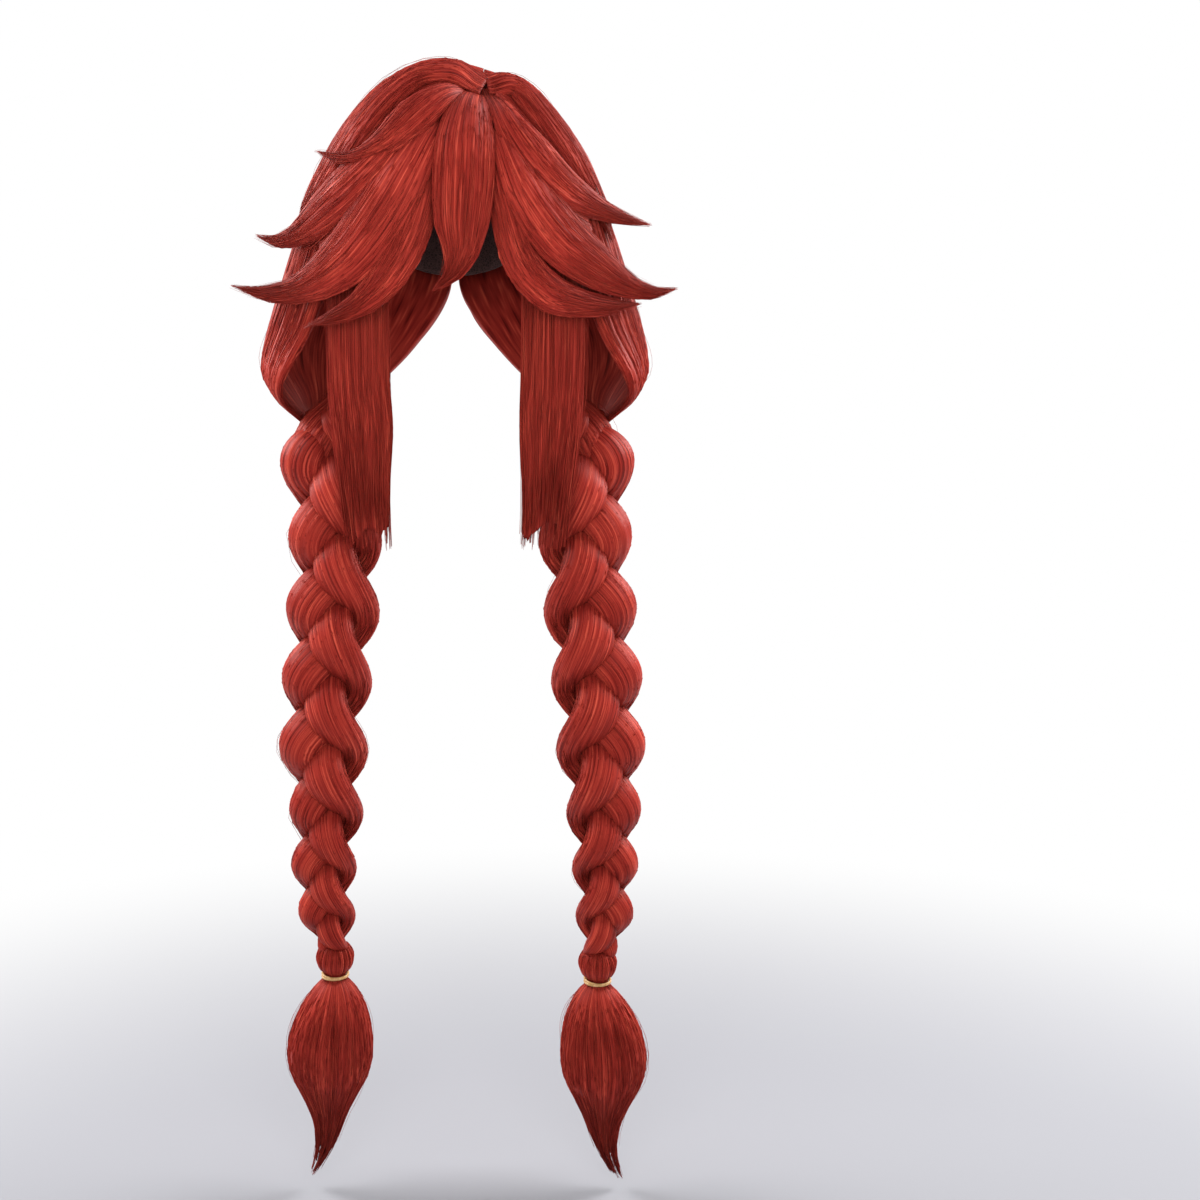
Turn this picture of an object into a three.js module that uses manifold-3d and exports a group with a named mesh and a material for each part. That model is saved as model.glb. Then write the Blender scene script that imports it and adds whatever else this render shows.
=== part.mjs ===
// A long red wig worn on the head: a stretch cap, two crown halves parted off centre and swept
// into loops beside the neck, a layered fringe, two straight side locks, and two three-strand
// braids that end in an elastic band and a brush of loose hair.
// Millimetres, +Z up, the wearer facing -Y, and the origin inside the cap on top of the head.
import * as THREE from "three";
import Module from "manifold-3d";

const wasm = await Module();
wasm.setup();

// The head that the wig fits: a circumference of about 560 mm.
const HEAD_WIDTH = 152;
const HEAD_DEPTH = 192;
const SKULL_HEIGHT = 112; // from the widest level of the head up to its top
const JAW_HEIGHT = 130; // from the same level down to the chin
const CLEARANCE = 0.4; // between pieces that touch
const CROWN_CLEARANCE = 0.5; // round a crown half, whose faces are larger

// The cap.
const CAP_WALL = 1.6;
const CAP_FRONT_DROP = 58; // the rim's drop below the top of the head, at the forehead
const CAP_NAPE_DROP = 158;

// How far the hair stands out from the head.
const TOP_VOLUME = 15;
const FRONT_VOLUME = 21;
const BACK_VOLUME = 27;
const SIDE_VOLUME = 50; // at the ears
const LOOP_VOLUME = 87; // at the widest level of the loops
const DOME_ROUNDNESS = 1.65; // 2 is an ellipsoid, less is more pointed
const CROWN_THICKNESS = 24;

// The crown's route from the parting to the top of a braid.
const PART_OFFSET = 26; // the parting lies this far towards the wearer's left
const PART_FRONT_ANGLE = 41; // degrees from the top of the head down to the fringe
const PART_BACK_ANGLE = 78;
const PART_GROOVE = 2.5;
const PART_GAP = 0.7;
const CAP_ROOM_SHARE = 0.9; // the most of the room above the cap that the crown fills
const CAP_LIFT = 1; // the least room left between them
const LOOP_DROP = 286; // from the top of the head down to where a loop is gathered
const GATHER_OUT = 105; // the gather's centre from the middle of the head
const GATHER_BACK = 16;
const GATHER_RADIUS = 33;

// The fringe and the side locks.
const FACE_LENGTH = 240; // from the top of the head to the chin
const LOCK_WIDTH = 60;
const LOCK_THICKNESS = 15;

// The braids and their ends.
const BRAID_TOP_DROP = 268;
const BRAID_HALF_WIDTH = 42;
const BRAID_LENGTHS = { left: 472, right: 477 }; // from the first crossing to the knot
const LOBE_PITCH = 1.55; // the drop from one lobe to the next on its side, in half widths
const BRAID_TURN = 28; // degrees by which the front of a braid faces outwards
const BRAID_FORWARD = 12; // the braids hang this far in front of the ears
const BRAID_SPREAD = 106; // a braid's centre from the middle of the head
const KNOT_RADIUS = 15.5;
const NECK_RADIUS = 9.2;
const NECK_LENGTH = 5;
const KNOT_LENGTH = 27;
const BAND_WIDTH = 3.8;
const BAND_THICKNESS = 1.5;
const TAIL_RADIUS = 35;
const TAIL_LENGTH = 156;
const TAIL_FLATNESS = 0.8; // depth over width

// The mesh fineness.
const LOCK_SIDES = 8;
const LOCK_SECTIONS = 12;
const STRAND_SIDES = 6;
const STRAND_STEPS = 22;
const CROWN_COLUMNS = 11;
const HEAD_SEGMENTS = 20;
const HEAD_STEP = 15; // degrees

const HAIR_RED = new THREE.Color("#a3302a");
const NET_BROWN = new THREE.Color("#3a1a18");
const BAND_TAN = new THREE.Color("#c09a5c");

const hairMaterial = () =>
  new THREE.MeshStandardMaterial({ color: HAIR_RED, roughness: 0.45, metalness: 0 });
const netMaterial = () =>
  new THREE.MeshStandardMaterial({ color: NET_BROWN, roughness: 0.9, metalness: 0 });
const bandMaterial = () =>
  new THREE.MeshStandardMaterial({ color: BAND_TAN, roughness: 0.5, metalness: 0 });

const DOME = {
  side: HEAD_WIDTH / 2 + SIDE_VOLUME,
  front: HEAD_DEPTH / 2 + FRONT_VOLUME,
  back: HEAD_DEPTH / 2 + BACK_VOLUME,
  top: SKULL_HEIGHT + TOP_VOLUME,
};
const HAIR_HALF_WIDTH = HEAD_WIDTH / 2 + LOOP_VOLUME;
const HAIR_FRONT = HEAD_DEPTH / 2 + FRONT_VOLUME + 3;

const UP = new THREE.Vector3(0, 0, 1);
const radians = THREE.MathUtils.degToRad;
const blend = THREE.MathUtils.lerp;
const smooth = (value, from, to) => THREE.MathUtils.smoothstep(value, from, to);

// A closed surface as a solid, with its faces turned outwards.
function closedSolid(points, triangles) {
  const vertProperties = new Float32Array(points.flatMap((p) => [p.x, p.y, p.z]));
  const build = (corners) =>
    new wasm.Manifold(
      new wasm.Mesh({ numProp: 3, vertProperties, triVerts: new Uint32Array(corners.flat()) }),
    );
  const solid = build(triangles);
  return solid.volume() > 0 ? solid : build(triangles.map(([a, b, c]) => [a, c, b]));
}

// The skin between rings that have the same number of points, closed by a fan at each end.
function loftSolid(rings) {
  const count = rings[0].length;
  const points = rings.flat();
  const triangles = [];
  for (let row = 0; row + 1 < rings.length; row++)
    for (let i = 0; i < count; i++) {
      const [a, b] = [row * count + i, row * count + ((i + 1) % count)];
      triangles.push([a, b, b + count], [a, b + count, a + count]);
    }
  for (const [row, flip] of [
    [0, true],
    [rings.length - 1, false],
  ]) {
    const middle = rings[row].reduce((sum, p) => sum.add(p), new THREE.Vector3());
    const hub = points.push(middle.divideScalar(count)) - 1;
    for (let i = 0; i < count; i++) {
      const [a, b] = [row * count + i, row * count + ((i + 1) % count)];
      triangles.push(flip ? [hub, b, a] : [hub, a, b]);
    }
  }
  return closedSolid(points, triangles);
}

// A wall between two grids of the same size, the outer one and the inner one.
function wallSolid(outer, inner) {
  const [rows, columns] = [outer.length, outer[0].length];
  const at = (layer, row, column) => (layer * rows + row) * columns + column;
  const triangles = [];
  const quad = (a, b, c, d) => triangles.push([a, b, c], [a, c, d]);
  for (let r = 0; r + 1 < rows; r++)
    for (let c = 0; c + 1 < columns; c++) {
      quad(at(0, r, c), at(0, r, c + 1), at(0, r + 1, c + 1), at(0, r + 1, c));
      quad(at(1, r, c), at(1, r + 1, c), at(1, r + 1, c + 1), at(1, r, c + 1));
    }
  for (let c = 0; c + 1 < columns; c++) {
    quad(at(0, 0, c), at(1, 0, c), at(1, 0, c + 1), at(0, 0, c + 1));
    const r = rows - 1;
    quad(at(0, r, c), at(0, r, c + 1), at(1, r, c + 1), at(1, r, c));
  }
  for (let r = 0; r + 1 < rows; r++) {
    quad(at(0, r, 0), at(0, r + 1, 0), at(1, r + 1, 0), at(1, r, 0));
    const c = columns - 1;
    quad(at(0, r, c), at(1, r, c), at(1, r + 1, c), at(0, r + 1, c));
  }
  return closedSolid([...outer.flat(2), ...inner.flat(2)], triangles);
}

// A three.js geometry as a solid.
function solidOfGeometry(geometry) {
  const position = geometry.getAttribute("position");
  const points = [];
  const known = new Map();
  const corner = (i) => {
    const p = new THREE.Vector3().fromBufferAttribute(position, i);
    const key = [p.x, p.y, p.z].map((value) => Math.round(value * 1e3)).join();
    if (!known.has(key)) known.set(key, points.push(p) - 1);
    return known.get(key);
  };
  const corners = Array.from(geometry.index.array, corner);
  const triangles = [];
  for (let i = 0; i < corners.length; i += 3) {
    const [a, b, c] = corners.slice(i, i + 3);
    if (a !== b && b !== c && c !== a) triangles.push([a, b, c]);
  }
  return closedSolid(points, triangles);
}

// The head as an egg, grown by a margin: the skull above its widest level, the jaw below it.
// With an inner margin it becomes the wall between the two, open below the lowest angle.
function headGeometry(margin, lowest, innerMargin = null) {
  const arc = (grow, from, to) =>
    Array.from({ length: Math.abs(to - from) / HEAD_STEP + 1 }, (_, i) => {
      const angle = radians(from + Math.sign(to - from) * i * HEAD_STEP);
      const height = Math.cos(angle) > 0 ? SKULL_HEIGHT : JAW_HEIGHT;
      const radius = Math.sin(angle) * (HEAD_DEPTH / 2 + grow);
      return new THREE.Vector2(radius < 1e-6 ? 0 : radius, Math.cos(angle) * (height + grow));
    });
  const profile = arc(margin, lowest, 0);
  if (innerMargin !== null) profile.push(...arc(innerMargin, 0, lowest), profile[0].clone());
  const geometry = new THREE.LatheGeometry(profile, HEAD_SEGMENTS);
  geometry.rotateX(Math.PI / 2);
  geometry.scale((HEAD_WIDTH / 2 + margin) / (HEAD_DEPTH / 2 + margin), 1, 1);
  geometry.translate(0, 0, -SKULL_HEIGHT);
  return geometry;
}

// The cap: a thin shell over the skull, cut along a rim that falls from forehead to nape.
function capSolid() {
  const shell = solidOfGeometry(headGeometry(CAP_WALL, 150, 0));
  const slope = Math.atan2(CAP_NAPE_DROP - CAP_FRONT_DROP, HEAD_DEPTH);
  const size = 3 * HEAD_DEPTH;
  const below = new THREE.BoxGeometry(size, size, size);
  below.translate(0, 0, -size / 2);
  below.rotateX(-slope);
  below.translate(0, 0, -(CAP_FRONT_DROP + CAP_NAPE_DROP) / 2);
  return shell.subtract(solidOfGeometry(below));
}

// The point of the hair's dome in a direction from the head's centre.
function domePoint(direction, sink = 0) {
  const { x, y, z } = direction;
  const depth = y < 0 ? DOME.front : DOME.back;
  const sum =
    Math.abs(x / DOME.side) ** DOME_ROUNDNESS +
    Math.abs(y / depth) ** DOME_ROUNDNESS +
    Math.abs(z / DOME.top) ** DOME_ROUNDNESS;
  const reach = sum ** (-1 / DOME_ROUNDNESS) - sink;
  return new THREE.Vector3(x, y, z).multiplyScalar(reach).add(new THREE.Vector3(0, 0, -SKULL_HEIGHT));
}

// The way outwards from the hair's dome at a point; below the ears it is level.
function outwards(point) {
  const power = DOME_ROUNDNESS - 1;
  const slope = (value, size) => (Math.sign(value) * Math.abs(value / size) ** power) / size;
  const depth = point.y < 0 ? DOME.front : DOME.back;
  const height = Math.max(0, point.z + SKULL_HEIGHT);
  return new THREE.Vector3(
    slope(point.x, DOME.side),
    slope(point.y, depth),
    slope(height, DOME.top),
  ).normalize();
}

// How a crown half falls below the ears: down is the share of the way from there to the gather,
// spread the hair's width and fore its front depth over the dome's, edge the turn in degrees from
// straight ahead to the front edge of the loop, and swell how far that edge bulges forwards.
const FALL = [
  { down: 0.0, spread: 1.0, fore: 1.0, edge: 44, swell: 0 },
  { down: 0.14, spread: 1.07, fore: 0.9, edge: 45, swell: 0 },
  { down: 0.3, spread: 1.14, fore: 0.76, edge: 47, swell: 0.1 },
  { down: 0.46, spread: 1.21, fore: 0.62, edge: 49, swell: 0.3 },
  { down: 0.6, spread: 1.265, fore: 0.5, edge: 51, swell: 0.6 },
  { down: 0.72, spread: 1.295, fore: 0.42, edge: 56, swell: 0.9 },
  { down: 0.82, spread: 1.285, fore: 0.34, edge: 63, swell: 1.0 },
  { down: 0.91, spread: 1.235, fore: 0.24, edge: 74, swell: 0.85 },
  { down: 1.0, spread: 1.1, fore: 0.16, edge: 86, swell: 0.3 },
];
const LOOP_SWELL = 24;
const DOME_ROWS = 6;
const BACK_TURN = 178.5;
const NAPE_DEPTH = 0.6; // the hair's depth behind the neck over that behind the head

// The room between a point and the cap, towards the middle of the head.
function roomAt(point) {
  const offset = point.clone().add(new THREE.Vector3(0, 0, SKULL_HEIGHT));
  const far = offset.length();
  const height = offset.z > 0 ? SKULL_HEIGHT : JAW_HEIGHT;
  const semi = [HEAD_WIDTH / 2, HEAD_DEPTH / 2, height].map((size) => size + CAP_WALL);
  const sum = offset.toArray().reduce((total, d, i) => total + (d / far / semi[i]) ** 2, 0);
  return far - 1 / Math.sqrt(sum);
}

// The crown's thickness along its way, in shares of the named one.
const crownThickness = (along) =>
  CROWN_THICKNESS * (0.42 + 0.5 * smooth(along, 0, 0.3) - 0.68 * smooth(along, 0.55, 1));

// The hair's route for one column of a crown half, from the parting to the gather.
function crownColumn(side, column) {
  const partAngle = radians(blend(-PART_FRONT_ANGLE, PART_BACK_ANGLE, column));
  const offset = PART_OFFSET * (1 - smooth(column, 0.35, 1)) + (side * PART_GAP) / 2;
  const partShift = offset / DOME.top;
  const start = new THREE.Vector3(partShift, Math.sin(partAngle), Math.cos(partAngle)).normalize();
  const turnAt = (edge) => radians(blend(edge, BACK_TURN, column));
  const route = [];
  const earTurn = turnAt(FALL[0].edge);
  const end = new THREE.Vector3(side * Math.sin(earTurn), -Math.cos(earTurn), 0);
  const between = start.angleTo(end);
  for (let i = 0; i < DOME_ROWS; i++) {
    const share = (i / DOME_ROWS) ** 1.15;
    const direction = start
      .clone()
      .multiplyScalar(Math.sin((1 - share) * between))
      .addScaledVector(end, Math.sin(share * between))
      .normalize();
    route.push(domePoint(direction, i === 0 ? PART_GROOVE : 0));
  }
  const gatherStart = blend(0.88, 0.26, smooth(column, 0.05, 0.9));
  const frontShare = (1 - Math.min(1, column / 0.45)) ** 2;
  for (const { down, spread, fore, edge, swell } of FALL) {
    const turn = turnAt(edge);
    const [across, ahead] = [side * Math.sin(turn), Math.cos(turn)];
    const pull = smooth(down, gatherStart, 1);
    const depth = ahead > 0 ? DOME.front * fore : DOME.back * blend(1, NAPE_DEPTH, smooth(down, 0, 0.8));
    route.push(
      new THREE.Vector3(
        blend(across * DOME.side * spread, side * GATHER_OUT + across * GATHER_RADIUS, pull),
        blend(-ahead * depth, GATHER_BACK - ahead * GATHER_RADIUS, pull) - LOOP_SWELL * swell * frontShare,
        -blend(SKULL_HEIGHT, LOOP_DROP, down),
      ),
    );
  }
  return route;
}

// One half of the crown as a hollow wall; grow makes it thicker all round, to cut its neighbours.
function crownSolid(side, grow = 0) {
  const columns = Array.from({ length: CROWN_COLUMNS }, (_, i) =>
    crownColumn(side, i / (CROWN_COLUMNS - 1)),
  );
  const rows = columns[0].map((_, r) => columns.map((column) => column[r]));
  const outer = [];
  const inner = [];
  const last = rows.length - 1;
  rows.forEach((row, r) => {
    const [above, below] = [rows[Math.max(r - 1, 0)], rows[Math.min(r + 1, last)]];
    const thickness = crownThickness(r / last);
    const pairs = row.map((point, c) => {
      const aside = row[Math.min(c + 1, CROWN_COLUMNS - 1)].clone().sub(row[Math.max(c - 1, 0)]);
      const along = below[c].clone().sub(above[c]);
      const normal = along.clone().cross(aside).multiplyScalar(side).normalize();
      const hem = Math.min(1, 0.45 + (2.6 * Math.min(c, CROWN_COLUMNS - 1 - c)) / CROWN_COLUMNS);
      const edgeShift = aside
        .normalize()
        .multiplyScalar(grow * (c === 0 ? -1 : c === CROWN_COLUMNS - 1 ? 1 : 0));
      const endShift = along.normalize().multiplyScalar(grow * (r === 0 ? -1 : r === last ? 1 : 0));
      const base = point.clone().add(edgeShift).add(endShift);
      const wall = Math.min(thickness * hem, CAP_ROOM_SHARE * roomAt(point) - CAP_LIFT);
      const back = base.clone().addScaledVector(normal, -wall - grow);
      if (c === CROWN_COLUMNS - 1) back.x = side * Math.max(side * back.x, PART_GAP / 2 - grow);
      return [base.clone().addScaledVector(normal, grow), back];
    });
    outer.push(pairs.map(([out]) => out));
    inner.push(pairs.map(([, back]) => back));
  });
  return wallSolid(outer, inner);
}

// The locks. Each row is one section: across, front and down place it in shares of the hair's
// half width, the hair's front and the face's length; width and thick are shares of a lock's.
const LOCKS = {
  side_lock_left: {
    facing: 2.2,
    rows: [
      { across: -0.46, front: 0.6, down: 0.58, width: 0.7, thick: 0.6 },
      { across: -0.48, front: 0.56, down: 0.75, width: 0.86, thick: 0.85 },
      { across: -0.48, front: 0.52, down: 1.08, width: 0.87, thick: 0.9 },
      { across: -0.46, front: 0.51, down: 1.26, width: 0.82, thick: 0.85 },
      { across: -0.435, front: 0.5, down: 1.6, width: 0.6, thick: 0.4 },
    ],
  },
  side_lock_right: {
    facing: 2.2,
    rows: [
      { across: 0.47, front: 0.6, down: 0.58, width: 0.7, thick: 0.6 },
      { across: 0.49, front: 0.56, down: 0.75, width: 0.88, thick: 0.85 },
      { across: 0.485, front: 0.52, down: 1.08, width: 0.88, thick: 0.9 },
      { across: 0.475, front: 0.51, down: 1.27, width: 0.82, thick: 0.85 },
      { across: 0.445, front: 0.5, down: 1.6, width: 0.6, thick: 0.4 },
    ],
  },
  bang_left: {
    facing: 0.6,
    rows: [
      { across: -0.02, front: 0.7, down: 0.16, width: 0.2, thick: 0.5 },
      { across: -0.07, front: 0.83, down: 0.28, width: 0.36, thick: 0.75 },
      { across: -0.13, front: 0.89, down: 0.4, width: 0.46, thick: 0.85 },
      { across: -0.17, front: 0.9, down: 0.52, width: 0.5, thick: 0.9 },
      { across: -0.235, front: 0.88, down: 0.65, width: 0.55, thick: 0.9 },
      { across: -0.335, front: 0.84, down: 0.76, width: 0.48, thick: 0.85 },
      { across: -0.46, front: 0.77, down: 0.83, width: 0.33, thick: 0.7 },
      { across: -0.6, front: 0.68, down: 0.87, width: 0.17, thick: 0.5 },
      { across: -0.75, front: 0.57, down: 0.9, width: 0.04, thick: 0.16 },
    ],
  },
  flick_left_low: {
    facing: 0.6,
    rows: [
      { across: -0.07, front: 0.78, down: 0.19, width: 0.2, thick: 0.5 },
      { across: -0.14, front: 0.88, down: 0.29, width: 0.42, thick: 0.8 },
      { across: -0.24, front: 0.93, down: 0.41, width: 0.6, thick: 0.95 },
      { across: -0.36, front: 0.88, down: 0.54, width: 0.68, thick: 1 },
      { across: -0.5, front: 0.79, down: 0.66, width: 0.66, thick: 0.95 },
      { across: -0.66, front: 0.65, down: 0.74, width: 0.5, thick: 0.85 },
      { across: -0.81, front: 0.51, down: 0.775, width: 0.32, thick: 0.65 },
      { across: -0.97, front: 0.4, down: 0.775, width: 0.17, thick: 0.4 },
      { across: -1.13, front: 0.34, down: 0.745, width: 0.04, thick: 0.15 },
    ],
  },
  flick_left_mid: {
    facing: 0.6,
    rows: [
      { across: -0.14, front: 0.8, down: 0.2, width: 0.2, thick: 0.5 },
      { across: -0.24, front: 0.86, down: 0.28, width: 0.4, thick: 0.8 },
      { across: -0.37, front: 0.85, down: 0.38, width: 0.56, thick: 0.95 },
      { across: -0.51, front: 0.76, down: 0.46, width: 0.6, thick: 0.95 },
      { across: -0.66, front: 0.6, down: 0.53, width: 0.52, thick: 0.85 },
      { across: -0.79, front: 0.44, down: 0.58, width: 0.3, thick: 0.65 },
      { across: -0.9, front: 0.34, down: 0.595, width: 0.15, thick: 0.4 },
      { across: -1.01, front: 0.29, down: 0.57, width: 0.04, thick: 0.15 },
    ],
  },
  flick_left_high: {
    facing: 0.6,
    rows: [
      { across: 0.05, front: 0.7, down: 0.13, width: 0.16, thick: 0.4 },
      { across: -0.07, front: 0.79, down: 0.16, width: 0.38, thick: 0.7 },
      { across: -0.2, front: 0.85, down: 0.23, width: 0.46, thick: 0.8 },
      { across: -0.31, front: 0.88, down: 0.305, width: 0.36, thick: 0.7 },
      { across: -0.42, front: 0.84, down: 0.345, width: 0.23, thick: 0.5 },
      { across: -0.54, front: 0.75, down: 0.355, width: 0.13, thick: 0.35 },
      { across: -0.68, front: 0.66, down: 0.32, width: 0.04, thick: 0.15 },
    ],
  },
  sweep_left: {
    facing: 0,
    rows: [
      { across: 0.14, front: 0.54, down: 0.06, width: 0.5, thick: 0.6 },
      { across: -0.02, front: 0.53, down: 0.03, width: 0.52, thick: 0.85 },
      { across: -0.19, front: 0.49, down: 0.045, width: 0.58, thick: 0.95 },
      { across: -0.35, front: 0.52, down: 0.125, width: 0.66, thick: 1 },
      { across: -0.495, front: 0.56, down: 0.25, width: 0.66, thick: 0.95 },
      { across: -0.63, front: 0.52, down: 0.385, width: 0.56, thick: 0.8 },
      { across: -0.735, front: 0.42, down: 0.5, width: 0.38, thick: 0.55 },
      { across: -0.81, front: 0.32, down: 0.6, width: 0.12, thick: 0.2 },
    ],
  },
  bang_right: {
    facing: 0.6,
    rows: [
      { across: 0.17, front: 0.72, down: 0.2, width: 0.16, thick: 0.5 },
      { across: 0.19, front: 0.85, down: 0.38, width: 0.28, thick: 0.8 },
      { across: 0.23, front: 0.88, down: 0.55, width: 0.36, thick: 0.9 },
      { across: 0.3, front: 0.86, down: 0.7, width: 0.46, thick: 0.9 },
      { across: 0.43, front: 0.79, down: 0.79, width: 0.46, thick: 0.85 },
      { across: 0.6, front: 0.66, down: 0.82, width: 0.35, thick: 0.7 },
      { across: 0.78, front: 0.52, down: 0.825, width: 0.2, thick: 0.45 },
      { across: 0.93, front: 0.42, down: 0.81, width: 0.05, thick: 0.15 },
    ],
  },
  flick_right_low: {
    facing: 0.6,
    rows: [
      { across: 0.18, front: 0.73, down: 0.18, width: 0.16, thick: 0.5 },
      { across: 0.25, front: 0.87, down: 0.34, width: 0.36, thick: 0.85 },
      { across: 0.35, front: 0.89, down: 0.48, width: 0.54, thick: 1 },
      { across: 0.5, front: 0.8, down: 0.61, width: 0.62, thick: 1 },
      { across: 0.67, front: 0.65, down: 0.69, width: 0.54, thick: 0.85 },
      { across: 0.84, front: 0.5, down: 0.75, width: 0.34, thick: 0.65 },
      { across: 0.99, front: 0.4, down: 0.775, width: 0.15, thick: 0.4 },
      { across: 1.12, front: 0.34, down: 0.755, width: 0.04, thick: 0.15 },
    ],
  },
  flick_right_high: {
    facing: 0.6,
    rows: [
      { across: 0.18, front: 0.69, down: 0.14, width: 0.18, thick: 0.45 },
      { across: 0.26, front: 0.8, down: 0.24, width: 0.4, thick: 0.8 },
      { across: 0.38, front: 0.84, down: 0.36, width: 0.52, thick: 0.9 },
      { across: 0.52, front: 0.76, down: 0.45, width: 0.46, thick: 0.85 },
      { across: 0.67, front: 0.6, down: 0.495, width: 0.31, thick: 0.65 },
      { across: 0.83, front: 0.45, down: 0.525, width: 0.17, thick: 0.4 },
      { across: 0.99, front: 0.35, down: 0.54, width: 0.04, thick: 0.15 },
    ],
  },
  sweep_right: {
    facing: 0,
    rows: [
      { across: 0.19, front: 0.52, down: 0.06, width: 0.48, thick: 0.6 },
      { across: 0.31, front: 0.48, down: 0.085, width: 0.54, thick: 0.9 },
      { across: 0.455, front: 0.53, down: 0.2, width: 0.6, thick: 0.95 },
      { across: 0.59, front: 0.54, down: 0.335, width: 0.54, thick: 0.85 },
      { across: 0.71, front: 0.44, down: 0.47, width: 0.38, thick: 0.6 },
      { across: 0.8, front: 0.34, down: 0.6, width: 0.12, thick: 0.2 },
    ],
  },
  bang_centre: {
    facing: 0.6,
    rows: [
      { across: 0.09, front: 0.66, down: 0.12, width: 0.2, thick: 0.5 },
      { across: 0.065, front: 0.81, down: 0.2, width: 0.5, thick: 0.85 },
      { across: 0.05, front: 0.92, down: 0.31, width: 0.63, thick: 0.95 },
      { across: 0.04, front: 0.97, down: 0.44, width: 0.7, thick: 1 },
      { across: 0.03, front: 0.99, down: 0.58, width: 0.66, thick: 0.9 },
      { across: 0.025, front: 0.99, down: 0.68, width: 0.44, thick: 0.7 },
      { across: -0.02, front: 0.985, down: 0.75, width: 0.2, thick: 0.45 },
      { across: -0.11, front: 0.98, down: 0.8, width: 0.04, thick: 0.15 },
    ],
  },
};

// A lock: a lens-shaped section that follows the rows, with its width lying along the hair.
function lockSolid({ facing, rows }, grow = 0) {
  const route = new THREE.CatmullRomCurve3(
    rows.map(
      ({ across, front, down }) =>
        new THREE.Vector3(across * HAIR_HALF_WIDTH, -front * HAIR_FRONT, -down * FACE_LENGTH),
    ),
    false,
    "centripetal",
  );
  const sizes = new THREE.CatmullRomCurve3(
    rows.map(
      ({ width, thick }) => new THREE.Vector3(width * LOCK_WIDTH, thick * LOCK_THICKNESS, 0),
    ),
  );
  const rings = Array.from({ length: LOCK_SECTIONS + 1 }, (_, step) => {
    const share = step / LOCK_SECTIONS;
    const tangent = route.getTangent(share);
    const size = sizes.getPoint(share);
    const centre = route.getPoint(share);
    const outside = outwards(centre).add(new THREE.Vector3(0, -facing, 0));
    const aside = tangent.clone().cross(outside).normalize();
    const out = aside.clone().cross(tangent).normalize();
    const endShift = grow * (step === 0 ? -1 : step === LOCK_SECTIONS ? 1 : 0);
    centre.addScaledVector(tangent, endShift);
    return Array.from({ length: LOCK_SIDES }, (_, i) => {
      const angle = (i / LOCK_SIDES) * 2 * Math.PI;
      const along = Math.cos(angle) * (size.x / 2 + grow);
      const bend = along ** 2 / (2 * DOME.side);
      return centre
        .clone()
        .addScaledVector(aside, along)
        .addScaledVector(out, Math.sin(angle) * (size.y / 2 + grow) - bend);
    });
  });
  return loftSolid(rings);
}

// How a braid hangs: down is the share of its length, out the sideways drift in shares of the
// spread, and wide the half width over the named one.
const HANG = {
  left: [
    { down: 0.0, out: 1.03, wide: 0.84 },
    { down: 0.12, out: 0.98, wide: 1.0 },
    { down: 0.28, out: 0.95, wide: 0.9 },
    { down: 0.42, out: 0.98, wide: 0.91 },
    { down: 0.52, out: 1.02, wide: 0.88 },
    { down: 0.64, out: 1.04, wide: 0.86 },
    { down: 0.74, out: 1.02, wide: 0.72 },
    { down: 0.84, out: 1.04, wide: 0.63 },
    { down: 0.93, out: 1.01, wide: 0.54 },
    { down: 1.0, out: 0.95, wide: 0.36 },
  ],
  right: [
    { down: 0.0, out: 1.02, wide: 0.82 },
    { down: 0.12, out: 1.02, wide: 1.0 },
    { down: 0.28, out: 1.04, wide: 0.9 },
    { down: 0.42, out: 1.09, wide: 0.91 },
    { down: 0.52, out: 1.13, wide: 0.88 },
    { down: 0.64, out: 1.16, wide: 0.86 },
    { down: 0.74, out: 1.18, wide: 0.72 },
    { down: 0.84, out: 1.19, wide: 0.63 },
    { down: 0.93, out: 1.18, wide: 0.54 },
    { down: 1.0, out: 1.13, wide: 0.36 },
  ],
};
const SIDES = { left: -1, right: 1 };
const STRANDS = 3;
const STRAND_WIDTH = 0.53; // a strand's half width over the braid's
const STRAND_DEPTH = 0.37;
const WEAVE_DEPTH = 0.44; // how far a strand passes in front of the braid's middle and behind it
const FIRST_PHASE = -61; // degrees of the first strand at the top

function hangAt(name, share) {
  const rows = HANG[name];
  const curve = new THREE.CatmullRomCurve3(
    rows.map(({ down, out, wide }) => new THREE.Vector3(down, out, wide)),
  );
  let [low, high] = [0, 1];
  for (let i = 0; i < 24; i++) {
    const middle = (low + high) / 2;
    if (curve.getPoint(middle).x < share) low = middle;
    else high = middle;
  }
  const { y: out, z: wide } = curve.getPoint(low);
  return {
    centre: new THREE.Vector3(
      SIDES[name] * out * BRAID_SPREAD,
      -BRAID_FORWARD * smooth(share, 0, 0.25),
      -(BRAID_TOP_DROP + share * BRAID_LENGTHS[name]),
    ),
    half: wide * BRAID_HALF_WIDTH,
  };
}

// The middle of one strand: it crosses outwards in front and comes back behind.
function strandRoute(name, strand) {
  let phase = radians(FIRST_PHASE + (strand * 360) / STRANDS);
  const drop = BRAID_LENGTHS[name] / STRAND_STEPS;
  const turn = SIDES[name] * radians(BRAID_TURN);
  return Array.from({ length: STRAND_STEPS + 1 }, (_, step) => {
    const { centre, half } = hangAt(name, step / STRAND_STEPS);
    const swing = (1 - STRAND_WIDTH) * half * Math.sin(phase);
    const weave = -WEAVE_DEPTH * half * Math.sin(2 * phase);
    const point = new THREE.Vector3(SIDES[name] * swing, weave, 0)
      .applyAxisAngle(UP, turn)
      .add(centre);
    phase += ((2 * Math.PI) / STRANDS) * (drop / (LOBE_PITCH * half));
    return { point, half };
  });
}

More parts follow.
